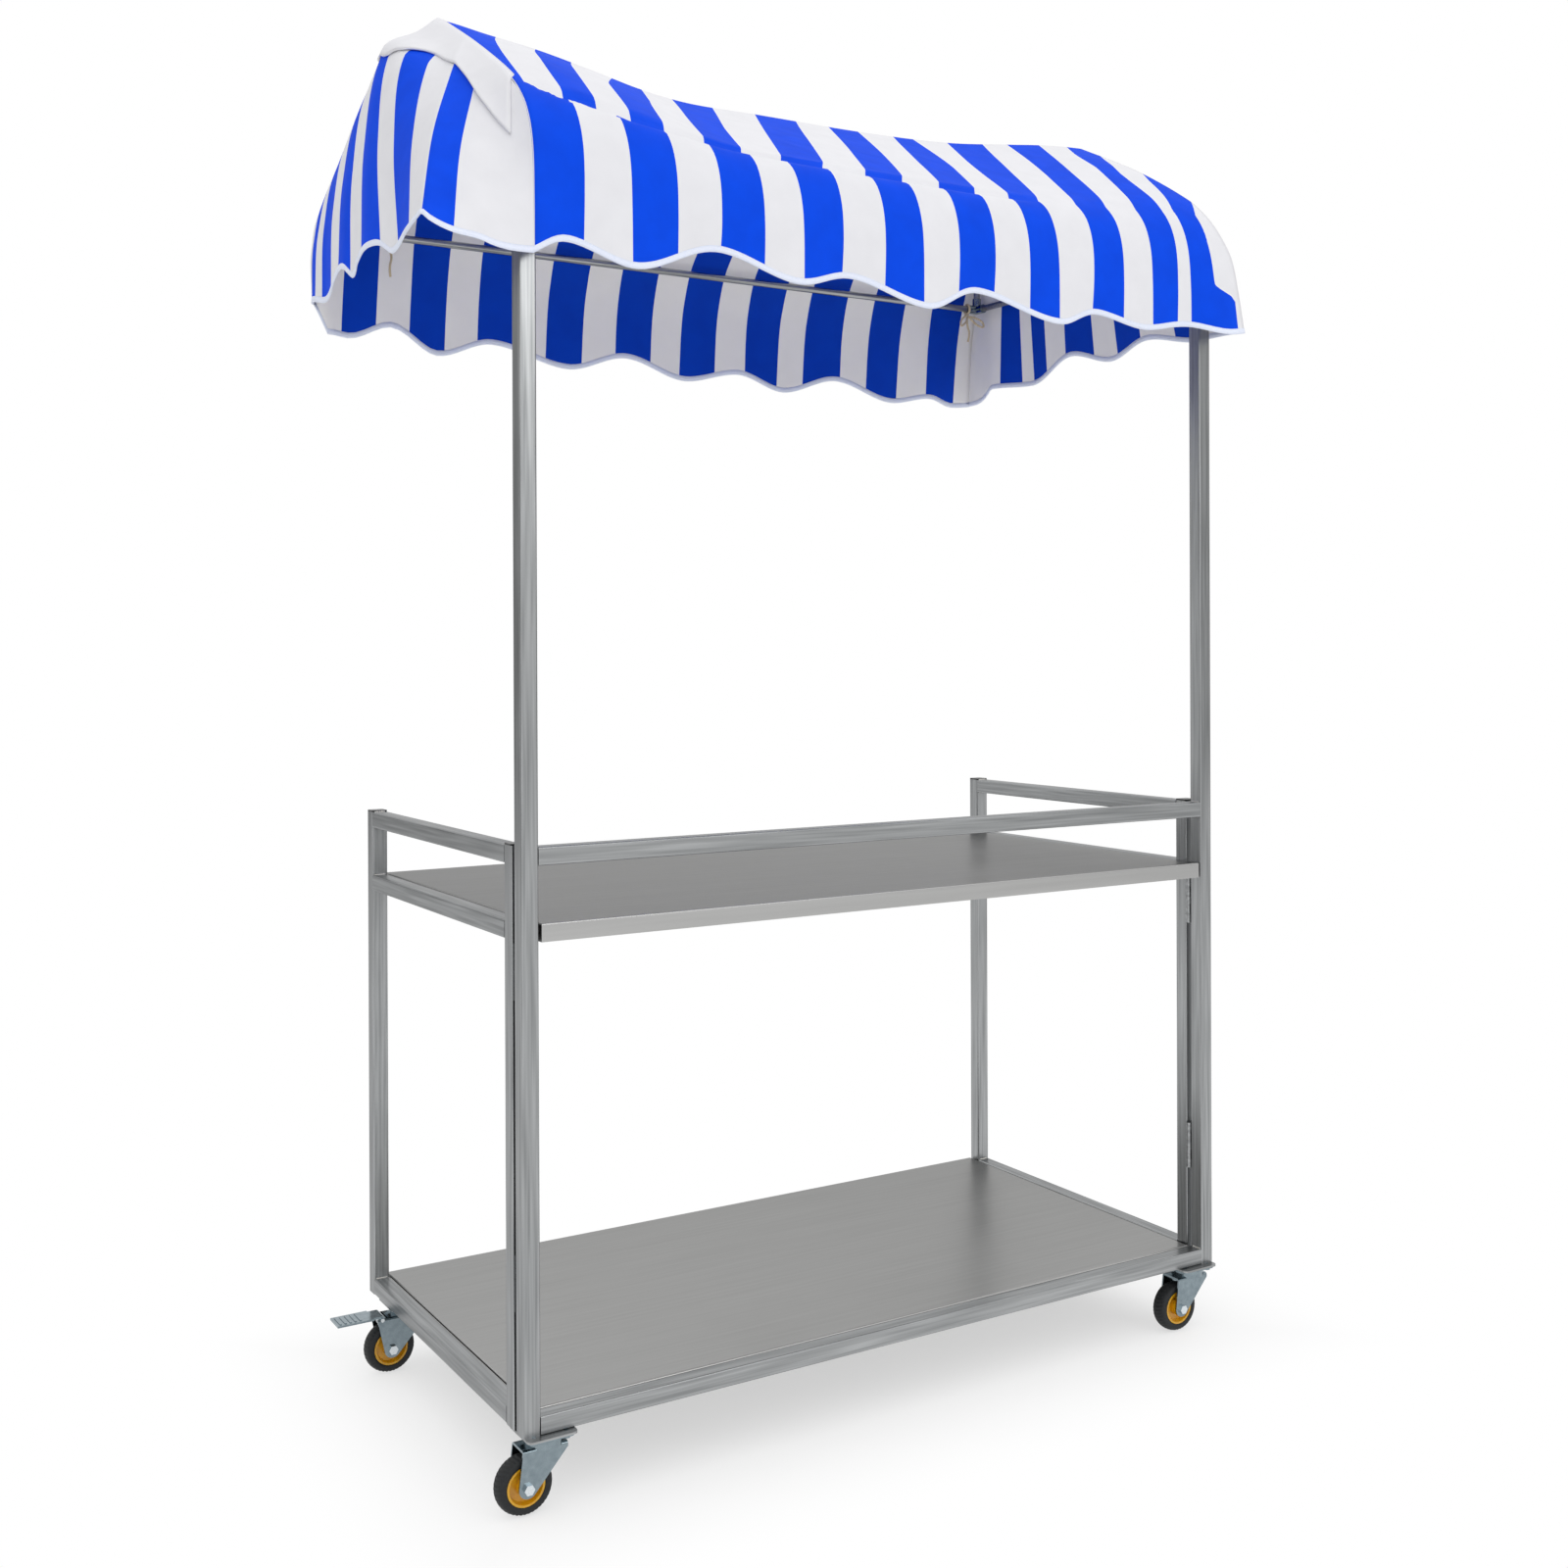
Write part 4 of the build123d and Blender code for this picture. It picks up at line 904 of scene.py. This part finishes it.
tape_width, tape_half, tape_taper = 8, 1.3, 0.8
loop_columns = left_points[:-1] + fronts[:-1] + right_points[:-1] + backs[:0:-1]
hem_line = [column[0] for column in loop_columns]
rings = []
for index, column in enumerate(loop_columns):
    ahead, behind = hem_line[(index + 1) % len(hem_line)], hem_line[index - 1]
    rise = (column[2] - column[0]).normalized()
    out = (ahead - behind).cross(rise).normalized()
    top = column[0] + rise * tape_width
    rings.append([spot / 1000 for spot in (top + out * tape_half * tape_taper, column[0] + out * tape_half,
                                           column[0] - rise * tape_half, column[0] - out * tape_half,
                                           top - out * tape_half * tape_taper)])
tape_points = [spot for ring in rings for spot in ring]
tape_faces = []
for index in range(len(rings)):
    here, after = index * 5, (index + 1) % len(rings) * 5
    tape_faces += [(here + s, here + (s + 1) % 5, after + (s + 1) % 5, after + s) for s in range(5)]
binding = mesh_piece("hem_binding_tape", tape_points, tape_faces, tape, "canopy", "striped_cloth")
print("hem tape", round(sum((a - b).length for a, b in zip(hem_line, hem_line[1:])) / 1000, 2), "m long")

# %% [markdown]
# Real Oxford cloth is under a millimetre thick and has two faces. A Solidify modifier gives the sheet that
# thickness and its inner face the back finish, whose paler white is painted light on the shaded inside and
# whose blue is darker, and the fold is as thick as it looks with two layers.

# %% Thickness of the cloth, and what it is
cloth_thickness, fold_thickness = 0.0008, 0.0026
for piece, thick in ((canopy, cloth_thickness), (band, fold_thickness)):
    layer = piece.modifiers.new("cloth_thickness", "SOLIDIFY")
    layer.thickness = thick
    layer.offset = 0
    layer.material_offset = 1 if piece is canopy else 0
print("cloth", 1000 * cloth_thickness, "mm thick, fold", 1000 * fold_thickness, "mm")

# %% [markdown]
# ## Floor and light
#
# The photograph has a plain white ground with one soft shadow under the cart. The floor is pale paper that
# turns to plain white away from the cart, for the camera and in reflections. The light is a large soft panel
# overhead, one low at the left front, and a small one high at the right front, which gives the left upright
# its bright top. The room is a grey studio with pale walls in front and at the left back and a white backdrop
# behind. Satin metal shows that room, so its left faces go dark and its front faces pale.

# %% Floor
half_floor = 8
footprint = (0.62, 0.32, 0.0)
ground = bpy.data.meshes.new("studio_floor")
ground.from_pydata([(-half_floor, -half_floor, 0), (half_floor, -half_floor, 0), (half_floor, half_floor, 0),
                    (-half_floor, half_floor, 0)], [], [(0, 1, 2, 3)])
floor = bpy.data.objects.new("studio_floor", ground)
scene.collection.objects.link(floor)
# Matt paper has no gloss at all
paper, tree, shader = start_finish("matt_white_paper", {"Base Color": to_linear("#F4F4F4"), "Roughness": 1.0,
                                                        "Specular IOR Level": 0.0})
# The shadow keeps to the cart's own footprint and fades out within 250 mm of it
place = add_node(tree, "ShaderNodeTexCoord")
off_middle = add_node(tree, "ShaderNodeVectorMath", {0: place.outputs["Object"]}, operation="ABSOLUTE")
past = add_node(tree, "ShaderNodeVectorMath", {0: off_middle.outputs["Vector"], 1: footprint},
                operation="SUBTRACT")
sides = add_node(tree, "ShaderNodeSeparateXYZ", {"Vector": past.outputs["Vector"]})
far = add_node(tree, "ShaderNodeMath", {0: sides.outputs["X"], 1: sides.outputs["Y"]}, operation="MAXIMUM")
fade = add_node(tree, "ShaderNodeMapRange", {"Value": far.outputs["Value"], "From Min": -0.15,
                                             "From Max": 0.25, "To Min": 0.5},
                interpolation_type="SMOOTHSTEP")
# Only rays that show the floor see the white; light that falls on it meets plain paper
ray = add_node(tree, "ShaderNodeLightPath")
direct = add_node(tree, "ShaderNodeMath", {0: ray.outputs["Is Camera Ray"],
                                           1: ray.outputs["Is Transmission Ray"]}, operation="MAXIMUM")
seen = add_node(tree, "ShaderNodeMath", {0: direct.outputs["Value"], 1: ray.outputs["Is Glossy Ray"]},
                operation="MAXIMUM")
share = add_node(tree, "ShaderNodeMath", {0: fade.outputs["Result"], 1: seen.outputs["Value"]},
                 operation="MULTIPLY")
glow = add_node(tree, "ShaderNodeEmission", {"Color": to_linear("#FFFFFF"), "Strength": 1.0})
laid = add_node(tree, "ShaderNodeMixShader", {0: share.outputs["Value"], 1: shader.outputs["BSDF"],
                                              2: glow.outputs["Emission"]})
feed(tree, tree.nodes["Material Output"], {"Surface": laid.outputs["Shader"]})
ground.materials.append(paper)
print("floor", 2 * half_floor, "m wide")

# %% Studio room
room = bpy.data.worlds.new("grey_studio")
scene.world = room
room.use_nodes = True
tree = room.node_tree
looking = add_node(tree, "ShaderNodeTexCoord")


def wall(middle, start, end, dim, bright):
    """A stretch of wall from dim to bright; start and end are cosines of the angle from its middle."""
    near = add_node(tree, "ShaderNodeVectorMath", {0: looking.outputs["Generated"], 1: middle},
                    operation="DOT_PRODUCT")
    lit = add_node(tree, "ShaderNodeMapRange", {"Value": near.outputs["Value"], "From Min": start,
                                                "From Max": end, "To Min": dim, "To Max": bright},
                   interpolation_type="SMOOTHSTEP")
    return lit.outputs["Result"]


front_wall = wall((0.15, -0.99, 0.0), 0.72, 0.97, 0.22, 0.9)
left_wall = wall((-0.77, 0.64, 0.0), 0.92, 0.99, 0.0, 0.85)
backdrop = wall((0.535, 0.845, 0.0), 0.6, 0.78, 0.0, 1.0)
height = add_node(tree, "ShaderNodeSeparateXYZ", {"Vector": looking.outputs["Generated"]})
above = add_node(tree, "ShaderNodeMapRange", {"Value": height.outputs["Z"], "From Min": 0.02,
                                              "From Max": 0.4}, interpolation_type="SMOOTHSTEP")
walls = add_node(tree, "ShaderNodeMath", {0: front_wall, 1: left_wall}, operation="MAXIMUM")
ceiling = add_node(tree, "ShaderNodeMix", {0: above.outputs["Result"], 2: walls.outputs["Value"], 3: 1.0})
grey = add_node(tree, "ShaderNodeMath", {0: ceiling.outputs[0], 1: backdrop}, operation="MAXIMUM")
feed(tree, tree.nodes["Background"], {"Color": grey.outputs["Value"], "Strength": 1.0})
print("room", room.name)

# %% Soft lamps
for name, spot, aim, size, watts in (("overhead_panel", (0.0, -1.0, 4.6), (0, 0, 0.8), 4.0, 12),
                                     ("front_panel", (-2.0, -4.3, 0.9), (0, 0, 1.4), 3.0, 13),
                                     ("small_panel", (1.1, -4.4, 2.9), (-0.6, -0.3, 1.6), 1.3, 14)):
    lamp = bpy.data.lights.new(name, "AREA")
    lamp.size = size
    lamp.energy = watts
    panel = bpy.data.objects.new(name, lamp)
    panel.location = spot
    panel.rotation_euler = (Vector(aim) - Vector(spot)).to_track_quat("-Z", "Y").to_euler()
    scene.collection.objects.link(panel)
scene.view_settings.view_transform = "Standard"
